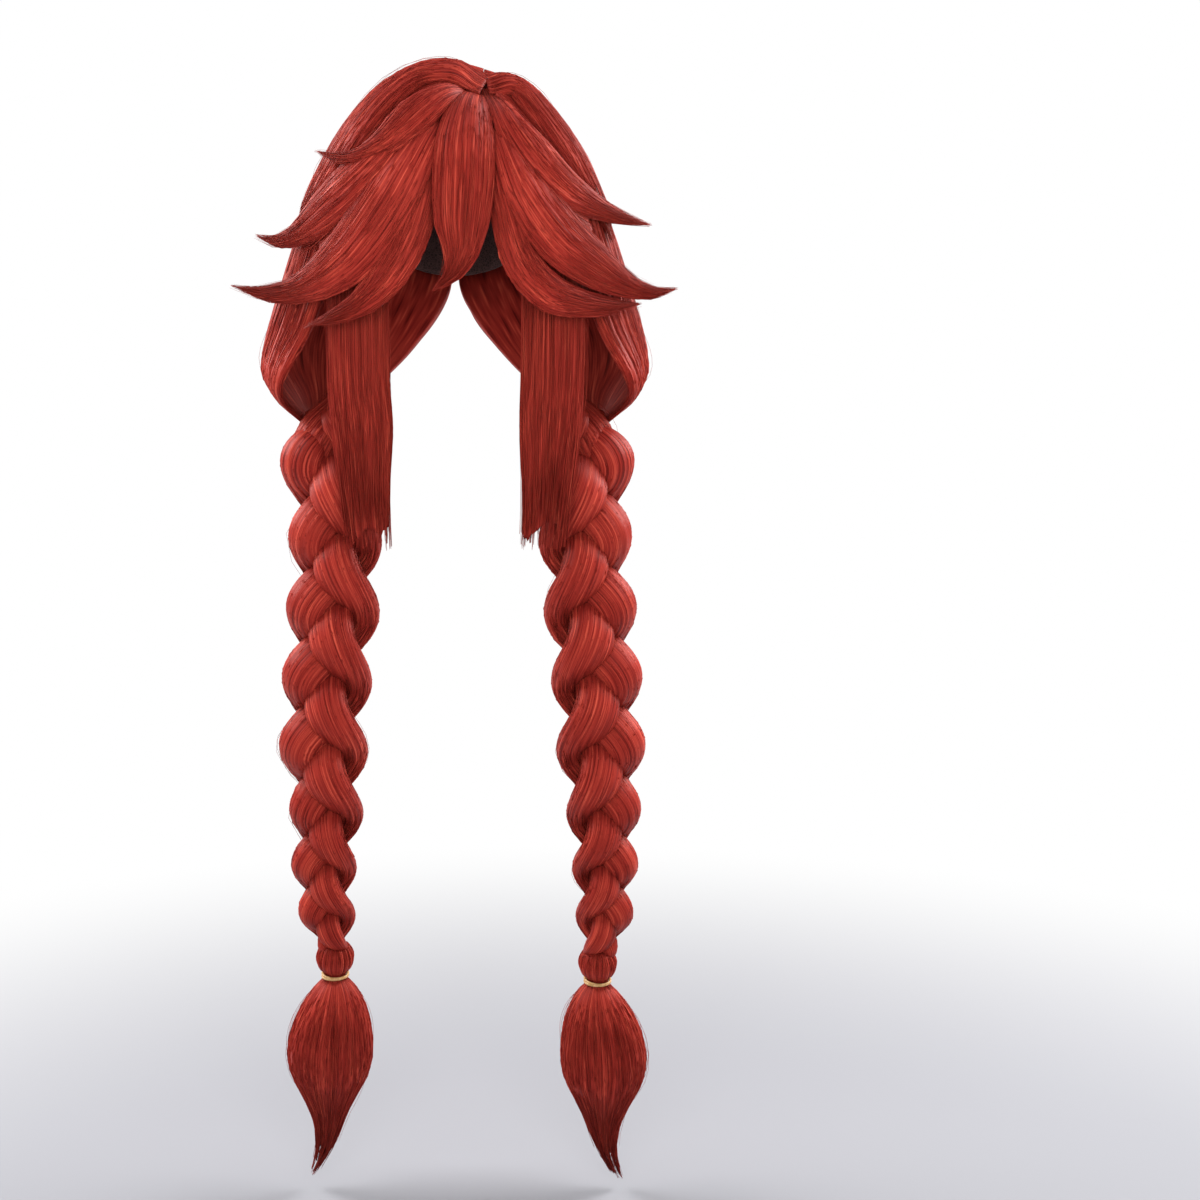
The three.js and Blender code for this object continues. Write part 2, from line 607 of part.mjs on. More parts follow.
function strandSolid(name, strand, grow = 0) {
  const route = strandRoute(name, strand);
  const behind = new THREE.Vector3(0, 1, 0).applyAxisAngle(UP, SIDES[name] * radians(BRAID_TURN));
  const rings = route.map(({ point, half }, step) => {
    const before = route[Math.max(step - 1, 0)].point;
    const after = route[Math.min(step + 1, STRAND_STEPS)].point;
    const tangent = after.clone().sub(before).normalize();
    const aside = tangent.clone().cross(behind).normalize();
    const out = aside.clone().cross(tangent);
    const share = step / STRAND_STEPS;
    const fullness = 0.55 + 0.45 * smooth(share, 0, 0.06) - 0.3 * smooth(share, 0.96, 1);
    const endShift = grow * (step === 0 ? -1 : step === STRAND_STEPS ? 1 : 0);
    return Array.from({ length: STRAND_SIDES }, (_, i) => {
      const angle = (i / STRAND_SIDES) * 2 * Math.PI;
      return point
        .clone()
        .addScaledVector(tangent, endShift)
        .addScaledVector(aside, Math.cos(angle) * (STRAND_WIDTH * half * fullness + grow))
        .addScaledVector(out, Math.sin(angle) * (STRAND_DEPTH * half * fullness + grow));
    });
  });
  return loftSolid(rings);
}

// The hair below the last crossing: knot, neck under the band, and the brush of loose hair.
// down runs from the neck in shares of the tail's length, and wide is over its radius.
const BRUSH = [
  { down: 0.03, wide: 0.4 },
  { down: 0.1, wide: 0.62 },
  { down: 0.22, wide: 0.87 },
  { down: 0.37, wide: 1.0 },
  { down: 0.5, wide: 0.93 },
  { down: 0.62, wide: 0.69 },
  { down: 0.73, wide: 0.45 },
  { down: 0.84, wide: 0.31 },
  { down: 0.93, wide: 0.18 },
  { down: 1.0, wide: 0.06 },
];
const TAIL_SIDES = 11;
const TAIL_LEAN = 5; // how far the brush leans outwards

function tailProfile() {
  const knot = [
    [KNOT_LENGTH, 0.42],
    [KNOT_LENGTH * 0.87, 0.78],
    [KNOT_LENGTH * 0.62, 1],
    [KNOT_LENGTH * 0.38, 0.98],
    [KNOT_LENGTH * 0.18, 0.82],
  ].map(([height, share]) => ({ height, radius: KNOT_RADIUS * share, flat: 1, lean: 0 }));
  const neck = [0.5, -0.5].map((end) => ({
    height: end * NECK_LENGTH,
    radius: NECK_RADIUS,
    flat: 1,
    lean: 0,
  }));
  const brush = BRUSH.map(({ down, wide }) => ({
    lean: TAIL_LEAN * smooth(down, 0, 0.4),
    height: -NECK_LENGTH / 2 - down * TAIL_LENGTH,
    radius: TAIL_RADIUS * wide,
    flat: blend(1, TAIL_FLATNESS, smooth(down, 0, 0.3)),
  }));
  return [...knot, ...neck, ...brush];
}

function tailSolid(name, grow = 0) {
  const profile = tailProfile();
  const last = profile.length - 1;
  const rings = profile.map(({ height, radius, flat, lean }, row) => {
    const z = height + grow * (row === 0 ? 1 : row === last ? -1 : 0);
    return Array.from({ length: TAIL_SIDES }, (_, i) => {
      const angle = (i / TAIL_SIDES) * 2 * Math.PI;
      return new THREE.Vector3(
        Math.cos(angle) * (radius + grow) + SIDES[name] * lean,
        Math.sin(angle) * (radius * flat + grow),
        z,
      );
    });
  });
  return loftSolid(rings);
}

// The elastic: one loop wound twice, so that its outside has two ridges.
function bandSolid() {
  const inner = NECK_RADIUS + CLEARANCE;
  const outer = inner + BAND_THICKNESS;
  const half = BAND_WIDTH / 2;
  const profile = [
    [inner, -half * 0.7],
    [outer - BAND_THICKNESS * 0.3, -half],
    [outer, -half * 0.5],
    [outer - BAND_THICKNESS * 0.35, 0],
    [outer, half * 0.5],
    [outer - BAND_THICKNESS * 0.3, half],
    [inner, half * 0.7],
    [inner, -half * 0.7],
  ].map(([radius, height]) => new THREE.Vector2(radius, height));
  const geometry = new THREE.LatheGeometry(profile, 12);
  geometry.rotateX(Math.PI / 2);
  return solidOfGeometry(geometry);
}

// The largest single body of a solid, so that crumbs left by a cut are not kept.
function mainBody(solid) {
  return solid.decompose().reduce((best, body) => (body.volume() > best.volume() ? body : best));
}

function meshOf(name, solid, material) {
  const { vertProperties, triVerts } = solid.getMesh();
  const geometry = new THREE.BufferGeometry();
  geometry.setAttribute("position", new THREE.BufferAttribute(vertProperties, 3));
  geometry.setIndex(new THREE.BufferAttribute(triVerts, 1));
  geometry.computeVertexNormals();
  const mesh = new THREE.Mesh(geometry, material);
  mesh.name = name;
  return mesh;
}

// Where a braid's neck is: under its last crossing.
function neckPlace(name) {
  const { centre } = hangAt(name, 1);
  return centre.add(new THREE.Vector3(0, 0, -KNOT_LENGTH * 0.55));
}

const wig = new THREE.Group();
const cutters = [solidOfGeometry(headGeometry(CAP_WALL + CLEARANCE, 180))];

// Lays a piece against all that came before it, so that each keeps its clearance to the next.
function lay(group, name, solid, cutter, material = hairMaterial()) {
  const clear = cutters.reduce((rest, other) => rest.subtract(other), solid);
  group.add(meshOf(name, mainBody(clear), material));
  cutters.push(cutter);
}

wig.add(meshOf("cap", capSolid(), netMaterial()));

const crown = new THREE.Group();
for (const [name, side] of Object.entries(SIDES))
  lay(crown, `crown_${name}`, crownSolid(side), crownSolid(side, CROWN_CLEARANCE));
wig.add(crown);

const fringe = new THREE.Group();
for (const [name, lock] of Object.entries(LOCKS))
  lay(fringe, name, lockSolid(lock), lockSolid(lock, CLEARANCE));
wig.add(fringe);

for (const name of Object.keys(SIDES)) {
  const neck = neckPlace(name);
  const braid = new THREE.Group();
  cutters.push(tailSolid(name, CLEARANCE).translate(neck.toArray()));
  for (let strand = 0; strand < STRANDS; strand++)
    lay(
      braid,
      `braid_${name}_strand_${strand + 1}`,
      strandSolid(name, strand),
      strandSolid(name, strand, CLEARANCE),
    );
  const end = new THREE.Group();
  end.position.copy(neck);
  end.add(meshOf(`tail_${name}`, tailSolid(name), hairMaterial()));
  end.add(meshOf(`band_${name}`, bandSolid(), bandMaterial()));
  braid.add(end);
  wig.add(braid);
}

export default wig;
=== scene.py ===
"""A long red wig with two plaits: the looks of each lock, plait, cap and elastic, built round the frame."""
import math

import bpy
import numpy as np
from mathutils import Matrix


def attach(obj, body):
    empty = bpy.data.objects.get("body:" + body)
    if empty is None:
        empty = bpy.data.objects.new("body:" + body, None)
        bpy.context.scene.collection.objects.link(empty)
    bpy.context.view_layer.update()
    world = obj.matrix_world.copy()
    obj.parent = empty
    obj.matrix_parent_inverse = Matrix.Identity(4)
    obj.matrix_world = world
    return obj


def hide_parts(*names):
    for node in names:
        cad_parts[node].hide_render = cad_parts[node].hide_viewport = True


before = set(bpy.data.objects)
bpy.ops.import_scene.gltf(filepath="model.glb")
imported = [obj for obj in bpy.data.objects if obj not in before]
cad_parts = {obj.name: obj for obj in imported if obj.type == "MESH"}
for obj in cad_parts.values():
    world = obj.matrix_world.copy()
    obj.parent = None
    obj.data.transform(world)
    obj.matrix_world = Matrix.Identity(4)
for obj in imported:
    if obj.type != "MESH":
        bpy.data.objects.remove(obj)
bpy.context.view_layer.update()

MM = 0.001

# The cap and the crown, in millimetres and degrees, as the frame has them. Heights and drops are
# measured from the middle and from the top of the cap's inside.
CAP_WIDTH = 152
CAP_DEPTH = 192
CAP_HEIGHT = 112
CAP_LOWER_HEIGHT = 130
CAP_WALL = 1.6
CAP_FRONT_DROP = 58
CAP_NAPE_DROP = 158
DOME_SIDE = 126
DOME_FRONT = 117
DOME_BACK = 123
DOME_TOP = 127
DOME_ROUNDNESS = 1.65
CROWN_THICKNESS = 24
PART_OFFSET = 26
PART_FRONT_ANGLE = 41
PART_BACK_ANGLE = 78
PART_GROOVE = 2.5
PART_GAP = 0.7
LOOP_DROP = 286
GATHER_OUT = 105
GATHER_BACK = 16
GATHER_RADIUS = 33
LOOP_SWELL = 24
CURL_RADIUS = 24
CURL_DROP = 8
BACK_TURN = 178.5
NAPE_DEPTH = 0.6

# The locks are placed in shares of these, in millimetres.
HAIR_HALF_WIDTH = 163
HAIR_FRONT = 120
HAIR_DROP = 240
LOCK_WIDTH = 60
LOCK_THICKNESS = 15
ROOT_SINK = 4

# The plaits and their ends.
BRAID_TOP_DROP = 268
BRAID_HALF_WIDTH = 42
BRAID_LENGTHS = {"left": 472, "right": 477}
BRAID_SPREAD = 106
BRAID_FORWARD = 12
BRAID_TURN = 28
LOBE_PITCH = 1.55
STRAND_WIDTH = 0.53
STRAND_DEPTH = 0.37
WEAVE_DEPTH = 0.44
FIRST_PHASE = -61
KNOT_RADIUS = 15.5
KNOT_LENGTH = 27
NECK_RADIUS = 9.2
NECK_LENGTH = 5
BAND_WIDTH = 3.8
TAIL_RADIUS = 35
TAIL_LENGTH = 156
TAIL_FLATNESS = 0.8
TAIL_LEAN = 5
TIP_LEAN = 150
THREAD_RADIUS = 1.1
BAND_ROOM = 1.4
SIDES = {"left": -1, "right": 1}

# Single fibres, in millimetres.
STRAY_RADIUS = 0.15
TIED_DIP = 1.1

# The fibre's colours, from the dark streaks to the light ones, with where each lies in the noise.
FIBRE_TONES = [(0.37, "#551210"), (0.45, "#80221d"), (0.54, "#9b3027"), (0.64, "#c54f3d")]

# How near other hair must lie to darken a fibre's base colour as painted shade, in millimetres.
PAINTED_SHADE_REACH = 80

# The studio: places and sizes in metres, the lens in millimetres, and the shift of the view in
# shares of the picture's width.
FLOOR_HEIGHT = -0.935
FLOOR_GREY = "#95959a"
SKY_LIGHT = 0.18
CAMERA_PLACE = (0, -1.1, -0.295)
LENS = 38.8
FRAME_SHIFT = (0.1208, -0.144)
SOFTBOXES = {
    # place, aim, size, watts
    "side_left": ((-1.2, 0.3, 0.45), (0, 0, -0.3), (0.8, 1.0), 30),
    "side_right": ((1.2, 0.3, 0.45), (0, 0, -0.3), (0.8, 1.0), 30),
    "back_left": ((-1.9, 1.0, 0.5), (0, 0, -0.3), (0.9, 1.2), 27),
    "back_right": ((1.9, 1.0, 0.5), (0, 0, -0.3), (0.9, 1.2), 27),
    "front": ((0, -0.95, -0.2), (0, 0, -0.22), (0.9, 0.5), 7),
    "overhead": ((0, 0.1, 1.1), (0, 0, -0.3), (2.2, 2.2), 5),
}


# Small helpers.
def ease(value, start, end):
    share = np.clip((np.asarray(value, float) - start) / (end - start), 0, 1)
    return share * share * (3 - 2 * share)


def blend(start, end, share):
    return start + (end - start) * share


def unit(vectors):
    return vectors / np.maximum(np.linalg.norm(vectors, axis=-1, keepdims=True), 1e-9)


def bent_through(points, shares):
    """A smooth line through the points, read at shares of its way."""
    points = np.asarray(points, float)
    held = np.vstack([2 * points[0] - points[1], points, 2 * points[-1] - points[-2]])
    spot = np.clip(np.asarray(shares, float), 0, 1) * (len(points) - 1)
    first = np.minimum(spot.astype(int), len(points) - 2)
    way = (spot - first)[:, None]
    a, b, c, d = (held[first + i] for i in range(4))
    ab, bc, cd = (
        np.maximum(np.linalg.norm(q - p, axis=1, keepdims=True), 1e-6) ** 0.5
        for p, q in ((a, b), (b, c), (c, d))
    )
    leave = ((b - a) / ab - (c - a) / (ab + bc) + (c - b) / bc) * bc
    reach = ((c - b) / bc - (d - b) / (bc + cd) + (d - c) / cd) * bc
    square = 3 * (c - b) - 2 * leave - reach
    cube = 2 * (b - c) + leave + reach
    return b + leave * way + square * way**2 + cube * way**3


def outwards(points):
    """The way out of the hair's dome; below the dome it is level."""
    x, y, z = np.moveaxis(np.asarray(points, float), -1, 0)
    depth = np.where(y < 0, DOME_FRONT, DOME_BACK)
    height = np.maximum(0, z + CAP_HEIGHT)
    power = DOME_ROUNDNESS - 1
    across = np.sign(x) * np.abs(x / DOME_SIDE) ** power / DOME_SIDE
    ahead = np.sign(y) * np.abs(y / depth) ** power / depth
    above = np.abs(height / DOME_TOP) ** power / DOME_TOP
    return unit(np.stack([across, ahead, above], -1))


# Combed hair. A piece of hair is a closed skin of rings, shaped into clumps that run along it, with
# single fibres lying on it. around is the ring's length and along the piece's, in millimetres.
def ripple(rng, across, down, cells_across, cells_down):
    """Smooth noise between -1 and 1 that closes on itself across."""
    heights = rng.uniform(-1, 1, (cells_down + 2, cells_across))
    x, y = np.mod(across, 1) * cells_across, np.clip(down, 0, 1) * cells_down
    i, j = np.floor(x).astype(int), np.floor(y).astype(int)
    fx, fy = x - i, y - j
    fx, fy = fx * fx * (3 - 2 * fx), fy * fy * (3 - 2 * fy)
    i, right = i % cells_across, (i + 1) % cells_across
    upper = blend(heights[j, i], heights[j, right], fx)
    lower = blend(heights[j + 1, i], heights[j + 1, right], fx)
    return blend(upper, lower, fy)


def facing(rings):
    """The way out of each point of a skin of rings."""
    around = np.roll(rings, -1, axis=1) - np.roll(rings, 1, axis=1)
    along = np.gradient(rings, axis=0)
    out = unit(np.cross(around, along))
    middle = rings.mean(axis=1, keepdims=True)
    return out if (out * (rings - middle)).sum() > 0 else -out


def read_skin(skin, across, down):
    """Points of a skin between its own, by shares across and down."""
    rows, columns = skin.shape[:2]
    x = np.mod(across, 1) * columns
    y = np.clip(down, 0, 1) * (rows - 1)
    i, j = np.floor(x).astype(int) % columns, np.minimum(np.floor(y).astype(int), rows - 2)
    fx, fy = (x - np.floor(x))[..., None], (y - j)[..., None]
    right = (i + 1) % columns
    return blend(blend(skin[j, i], skin[j, right], fx), blend(skin[j + 1, i], skin[j + 1, right], fx), fy)


def closing(count, split):
    """Triangles that close a ring, from one half of it to the other."""
    near = list(range(split + 1))
    far = [0, *range(count - 1, split - 1, -1)]
    i = j = 0
    faces = []
    while i < len(near) - 1 or j < len(far) - 1:
        if j == len(far) - 1 or (i < len(near) - 1 and (i + 1) / len(near) <= (j + 1) / len(far)):
            faces.append((near[i], near[i + 1], far[j]))
            i += 1
        else:
            faces.append((near[i], far[j + 1], far[j]))
            j += 1
    return np.array([face for face in faces if len(set(face)) == 3])


def mesh_of(name, points, quads, quad_maps, triangles, triangle_maps):
    """A mesh in metres from points in millimetres; maps are (flow, bake) pairs, one row a corner."""
    mesh = bpy.data.meshes.new(name)
    mesh.vertices.add(len(points))
    mesh.vertices.foreach_set("co", (np.asarray(points) * MM).ravel())
    corners = np.concatenate([quads.ravel(), triangles.ravel()])
    mesh.loops.add(len(corners))
    mesh.loops.foreach_set("vertex_index", corners.astype(np.int32))
    starts = np.concatenate([np.arange(len(quads)) * 4, quads.size + np.arange(len(triangles)) * 3])
    mesh.polygons.add(len(starts))
    mesh.polygons.foreach_set("loop_start", starts.astype(np.int32))
    mesh.polygons.foreach_set("use_smooth", np.ones(len(starts), bool))
    mesh.update(calc_edges=True)
    for label, of_quads, of_triangles in zip(("flow", "OFBake"), quad_maps, triangle_maps):
        layer = mesh.uv_layers.new(name=label)
        places = np.concatenate([of_quads.reshape(-1, 2), of_triangles.reshape(-1, 2)])
        layer.data.foreach_set("uv", places.astype(np.float32).ravel())
    mesh.uv_layers["flow"].active = True
    mesh.uv_layers["flow"].active_render = True
    return mesh


def skin_faces(rows, columns, split, around, along, turned):
    """The faces of a closed skin of rings, with where each corner lies in the two maps."""
    j, i = np.meshgrid(np.arange(rows - 1), np.arange(columns), indexing="ij")
    right = (i + 1) % columns
    upper, lower = j * columns, (j + 1) * columns
    quads = np.stack([upper + i, upper + right, lower + right, lower + i], -1)
    x = np.stack([i, i + 1, i + 1, i], -1) / columns
    y = np.stack([j, j, j + 1, j + 1], -1) / (rows - 1)
    flow = np.stack([x * around, y * along], -1)
    bake = np.stack([0.005 + 0.99 * x, 0.005 + 0.61 * y], -1)
    ends = closing(columns, split)
    turn = ends / columns * 2 * math.pi
    triangles, cap_flow, cap_bake = [], [], []
    for row, flip, middle in ((0, True, 0.03), (rows - 1, False, 0.08)):
        cap = ends + row * columns
        places = np.stack([middle + 0.014 * np.cos(turn), 0.643 + 0.014 * np.sin(turn)], -1)
        way = np.stack([ends / columns * around, np.full(ends.shape, row / (rows - 1) * along)], -1)
        triangles.append(cap[:, ::-1] if flip else cap)
        cap_flow.append(way[:, ::-1] if flip else way)
        cap_bake.append(places[:, ::-1] if flip else places)
    quads, flow, bake = (part.reshape(-1, *part.shape[2:]) for part in (quads, flow, bake))
    triangles, cap_flow, cap_bake = map(np.concatenate, (triangles, cap_flow, cap_bake))
    if turned:
        quads, flow, bake = quads[:, ::-1], flow[:, ::-1], bake[:, ::-1]
        triangles, cap_flow, cap_bake = triangles[:, ::-1], cap_flow[:, ::-1], cap_bake[:, ::-1]
    return quads, flow, bake, triangles, cap_flow, cap_bake


def fibre_tubes(paths, outs, thickness, flow_start, along):
    """Three-sided closed tubes along paths[fibre, ring], with a pointed end each way."""
    count, rings = paths.shape[:2]
    tangent = unit(np.gradient(paths, axis=1))
    aside = unit(np.cross(tangent, outs))
    up = np.cross(aside, tangent)
    angle = np.radians([90, 210, 330])
    spokes = up[:, :, None] * np.sin(angle)[:, None] + aside[:, :, None] * np.cos(angle)[:, None]
    walls = paths[:, :, None] + spokes * thickness[:, :, None, None]
    reach = 2.5 * thickness
    tips = np.stack(
        [paths[:, 0] - tangent[:, 0] * reach[:, :1], paths[:, -1] + tangent[:, -1] * reach[:, -1:]], 1
    )
    points = np.concatenate([walls.reshape(count, -1, 3), tips], axis=1)
    own = 3 * rings + 2
    ring, side = np.meshgrid(np.arange(rings - 1), np.arange(3), indexing="ij")
    ring, side = ring.ravel(), side.ravel()
    after = (side + 1) % 3
    quads = np.stack([ring * 3 + side, ring * 3 + after, ring * 3 + 3 + after, ring * 3 + 3 + side], -1)
    last = 3 * (rings - 1)
    triangles = np.array(
        [[s, 3 * rings, (s + 1) % 3] for s in range(3)]
        + [[last + s, last + (s + 1) % 3, 3 * rings + 1] for s in range(3)]
    )
    shift = (np.arange(count) * own)[:, None, None]
    # Each fibre has a cell of its own in the bake map, and each of its sides a strip of the cell.
    cells = math.ceil(math.sqrt(count * 3))
    column, row = np.arange(count) % cells, np.arange(count) // cells
    wide, high = 0.99 / cells, 0.33 / math.ceil(count / cells)
    corner = np.stack([0.005 + column * wide, 0.665 + row * high], -1)[:, None, None]
    strip_x = np.stack([side, side + 0.9, side + 0.9, side], -1) / 3.1
    strip_y = 0.08 + 0.8 * np.stack([ring, ring, ring + 1, ring + 1], -1) / (rings - 1)
    bake = corner + np.stack([strip_x, strip_y], -1) * [wide, high]
    side = np.arange(3)
    low_x = np.stack([side, side + 0.45, side + 0.9], -1) / 3.1
    top_x = np.stack([side, side + 0.9, side + 0.45], -1) / 3.1
    low = np.stack([low_x, np.tile([0.08, 0.01, 0.08], (3, 1))], -1)
    top = np.stack([top_x, np.tile([0.88, 0.88, 0.95], (3, 1))], -1)
    tip_bake = corner + np.concatenate([low, top]) * [wide, high]
    ring_share = np.stack([ring, ring, ring + 1, ring + 1], -1) / (rings - 1)
    side_x = np.stack([np.tile(np.arange(3), rings - 1)] * 4, -1) * 0.35
    start = flow_start[:, None, None]
    flow = start + np.stack([side_x, ring_share * along], -1)
    tip_flow = start + np.zeros((6, 3, 2)) + [[0.2, 0.0]]
    tip_flow[:, 3:, :, 1] += along
    return (
        points.reshape(-1, 3),
        (quads + shift).reshape(-1, 4),
        flow.reshape(-1, 4, 2),
        bake.reshape(-1, 4, 2),
        (triangles + shift).reshape(-1, 3),
        tip_flow.reshape(-1, 3, 2),
        tip_bake.reshape(-1, 3, 2),
    )


def clump_lift(rng, across, down, around, along, clump, relief):
    """How far clumps stand up. They have round tops and sharp valleys, and smaller ones lie on the
    larger. Each wanders along the piece and swells and sinks, but never breaks off across it."""

    def ridges(size, length):
        count = max(4, round(around / size))
        wander = ripple(rng, across, down, max(3, round(count * 0.7)), max(2, round(along / length)))
        swell = ripple(rng, across, down, max(3, round(count * 0.5)), max(2, round(along / length)))
        return np.abs(np.sin(np.pi * (count * across + 0.75 * wander))) * (0.8 + 0.4 * swell)

    drift = ripple(rng, across, down, max(3, round(around / 30)), max(2, round(along / 60)))
    large = ridges(clump, 120) - 0.5
    small = ridges(clump / 2.6, 70) - 0.5
    return relief * (large + 0.4 * small + 0.5 * drift)


def cut_body(rng, skin, across, down, around, body_end, ragged, thin_from):
    """A skin shortened to an uneven cut, towards which it thins."""
    coarse, sharp = (
        ripple(rng, across[0], 0 * across[0], max(6, round(around / size)), 1) for size in (11, 3.5)
    )
    cut = body_end - ragged * (0.5 + 0.3 * coarse + 0.2 * sharp)
    body = read_skin(skin, across, down * cut[None])
    middle = (body + body[:, (-np.arange(across.shape[1])) % across.shape[1]]) / 2
    return blend(body, middle, ease(down, thin_from, 1.0)[..., None] * 0.8)


def comb(
    name,
    rings,
    around,
    along,
    seed,
    clump,
    relief,
    fibres,
    thickness,
    split=None,
    fibre_rings=10,
    lay=(0.0, 1.0),
    body_end=1.0,
    ragged=0.0,
    tip_clumps=0,
    loose=0.05,
    loose_reach=4.0,
    shortest=0.3,
    longest=1.0,
    free_end=True,
    held=None,
):
    """One piece of hair. clump is a clump's width and relief how far it stands up. lay is the part of
    the ring on which fibres lie, body_end where its skin ends, ragged how unevenly its free end is cut
    and tip_clumps how many points it has. loose is the share of stray fibres and loose_reach how far
    they lift. A fibre's length is a share of the piece's, from shortest to longest. held is the share
    down at which an elastic holds the piece."""
    rng = np.random.default_rng(seed)
    rows, columns = rings.shape[:2]
    split = split or columns // 2
    across, down = np.meshgrid(np.arange(columns) / columns, np.linspace(0, 1, rows))
    out = facing(rings)
    size = np.linalg.norm(np.diff(rings, axis=1, append=rings[:, :1]), axis=2).sum(axis=1)
    fullness = np.clip(size / size.max(), 0.05, 1)[:, None]
    lift = clump_lift(rng, across, down, around, along, clump, relief) * fullness
    loosen = np.ones(rows) if held is None else ease(np.abs(down[:, 0] - held), 0.015, 0.06)
    skin = rings + out * (lift * loosen[:, None])[..., None]
    body = skin
    if free_end:
        body = cut_body(rng, skin, across, down, around, body_end, ragged, 0.9 if held else 0.74)

    # Fibres: each keeps its place across, wanders a little, and dips under the skin at a tied end.
    strays = max(3, int(fibres * loose))
    place = (np.arange(fibres) + rng.uniform(0, 1, fibres)) / fibres
    place = lay[0] + (lay[1] - lay[0]) * rng.permutation(place)
    stray = np.arange(fibres) < strays
    length = rng.uniform(shortest, longest, fibres)
    if longest == 1:
        length[rng.uniform(0, 1, fibres) < 0.35] = 1
    begin = rng.uniform(0, 1, fibres) * (1 - length)
    finish = begin + length
    if free_end:
        reach = rng.uniform(body_end - 0.12, 1, fibres)
        to_end = rng.uniform(0, 1, fibres) < (0.85 if ragged else 0.6)
        finish = np.where(to_end, reach, np.minimum(finish, reach))
        begin = np.minimum(begin, finish - 0.15)
    finish[stray] = begin[stray] + (finish - begin)[stray] * rng.uniform(0.35, 0.9, strays)
    if held is not None:
        above = np.arange(fibres) % 6 == 0
        begin = np.where(above, 0.0, np.maximum(begin, held + 0.006))
        finish = np.where(above, held - 0.008, np.maximum(finish, begin + 0.1))
        stray &= ~above
    step = np.tile(np.linspace(0, 1, fibre_rings), (fibres, 1))
    step[:, 1:-1] += rng.uniform(-0.45, 0.45, (fibres, 1)) / (fibre_rings - 1)
    down_at = begin[:, None] + (finish - begin)[:, None] * step
    waves = np.stack([np.sin(2 * np.pi * step), np.cos(2 * np.pi * step), np.sin(5 * step), np.cos(7 * step)])
    sway = (rng.uniform(-1, 1, (4, fibres, 1)) * waves).sum(axis=0)
    across_at = place[:, None] + sway * 0.5 / around * np.where(stray, 3.0, 1.0)[:, None]
    if tip_clumps:
        # Fibres of one point draw together towards its middle and end where it ends.
        point = np.minimum((place * tip_clumps).astype(int), tip_clumps - 1)
        centre = (np.floor(place * tip_clumps) + 0.5 + rng.uniform(-0.2, 0.2, tip_clumps)[point]) / tip_clumps
        end_of = rng.uniform(body_end - 0.02, 1, tip_clumps)[point]
        draw = ease(down_at, body_end - 0.2, 1) * 0.75
        across_at = blend(across_at, centre[:, None], draw)
        down_at = np.minimum(down_at, blend(down_at, end_of[:, None], ease(down_at, 0.8, 1)))
        down_at = np.maximum.accumulate(down_at + np.arange(fibre_rings) * 1e-4, axis=1)
    paths = read_skin(skin, across_at, down_at)
    outs = unit(read_skin(out, across_at, down_at))
    weight = rng.uniform(0.55, 1.25, fibres) * thickness
    weight[stray] = STRAY_RADIUS
    tied_start, tied_finish = 1 - ease(step, 0, 0.12), ease(step, 0.86, 1)
    at_free_end = (finish > body_end - 0.14) if free_end else np.zeros(fibres, bool)
    sink = tied_start + tied_finish * ~at_free_end[:, None]
    height = weight[:, None] * rng.uniform(-0.1, 0.9, (fibres, 1)) - TIED_DIP * sink
    bow = rng.uniform(0.2, 1, (fibres, 1)) * np.sin(np.pi * step) ** 1.5
    flare = rng.uniform(0, 1, (fibres, 1)) ** 3 * step**3 * at_free_end[:, None]
    height = height + stray[:, None] * loose_reach * (bow + 1.5 * flare) + 0.35 * loose_reach * flare
    if held is not None:
        tied = ease(np.abs(down_at - held), 0.02, 0.09)
        height = height * tied - 0.5 * (1 - tied)
    paths = paths + outs * height[..., None]
    splay = 0.25 * loose_reach * flare * (1 + 2 * stray[:, None])
    paths = paths + rng.normal(0, 1, (fibres, 1, 3)) * splay[..., None]
    tip = 0.45 if tip_clumps else 0.8
    taper = (0.35 + 0.65 * ease(step, 0, 0.15)) * (1 - tip * ease(step, 0.7, 1))
    flow_start = np.stack(
        [place * around + rng.normal(0, 4, fibres), begin * along + rng.uniform(-200, 200, fibres)], -1
    )
    tubes = fibre_tubes(paths, outs, weight[:, None] * taper, flow_start, along)

    to_right, to_below = np.roll(body, -1, axis=1) - body, np.gradient(body, axis=0)
    turned = (facing(body) * np.cross(to_right, to_below)).sum() < 0
    quads, flow, bake, triangles, cap_flow, cap_bake = skin_faces(rows, columns, split, around, along, turned)
    base = rows * columns
    return mesh_of(
        name,
        np.concatenate([body.reshape(-1, 3), tubes[0]]),
        np.concatenate([quads, tubes[1] + base]),
        (np.concatenate([flow, tubes[2]]), np.concatenate([bake, tubes[3]])),
        np.concatenate([triangles, tubes[4] + base]),
        (np.concatenate([cap_flow, tubes[5]]), np.concatenate([cap_bake, tubes[6]])),
    )


def wear(mesh, node=None):
    """Puts a finished piece in the scene, in place of its node of the frame where it has one."""
    piece = bpy.data.objects.new(mesh.name, mesh)
    bpy.context.scene.collection.objects.link(piece)
    piece.data.materials.append(FIBRE)
    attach(piece, "root")
    if node:
        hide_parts(node)


# Materials.
def srgb(code):
    """A hex colour as Blender's linear red, green, blue and alpha."""
    values = [int(code[i : i + 2], 16) / 255 for i in (1, 3, 5)]
    return [v / 12.92 if v <= 0.04045 else ((v + 0.055) / 1.055) ** 2.4 for v in values] + [1.0]


def new_material(name):
    """A material, its node tree and its main shader."""
    material = bpy.data.materials.new(name)
    material.use_nodes = True
    return material, material.node_tree, material.node_tree.nodes["Principled BSDF"]


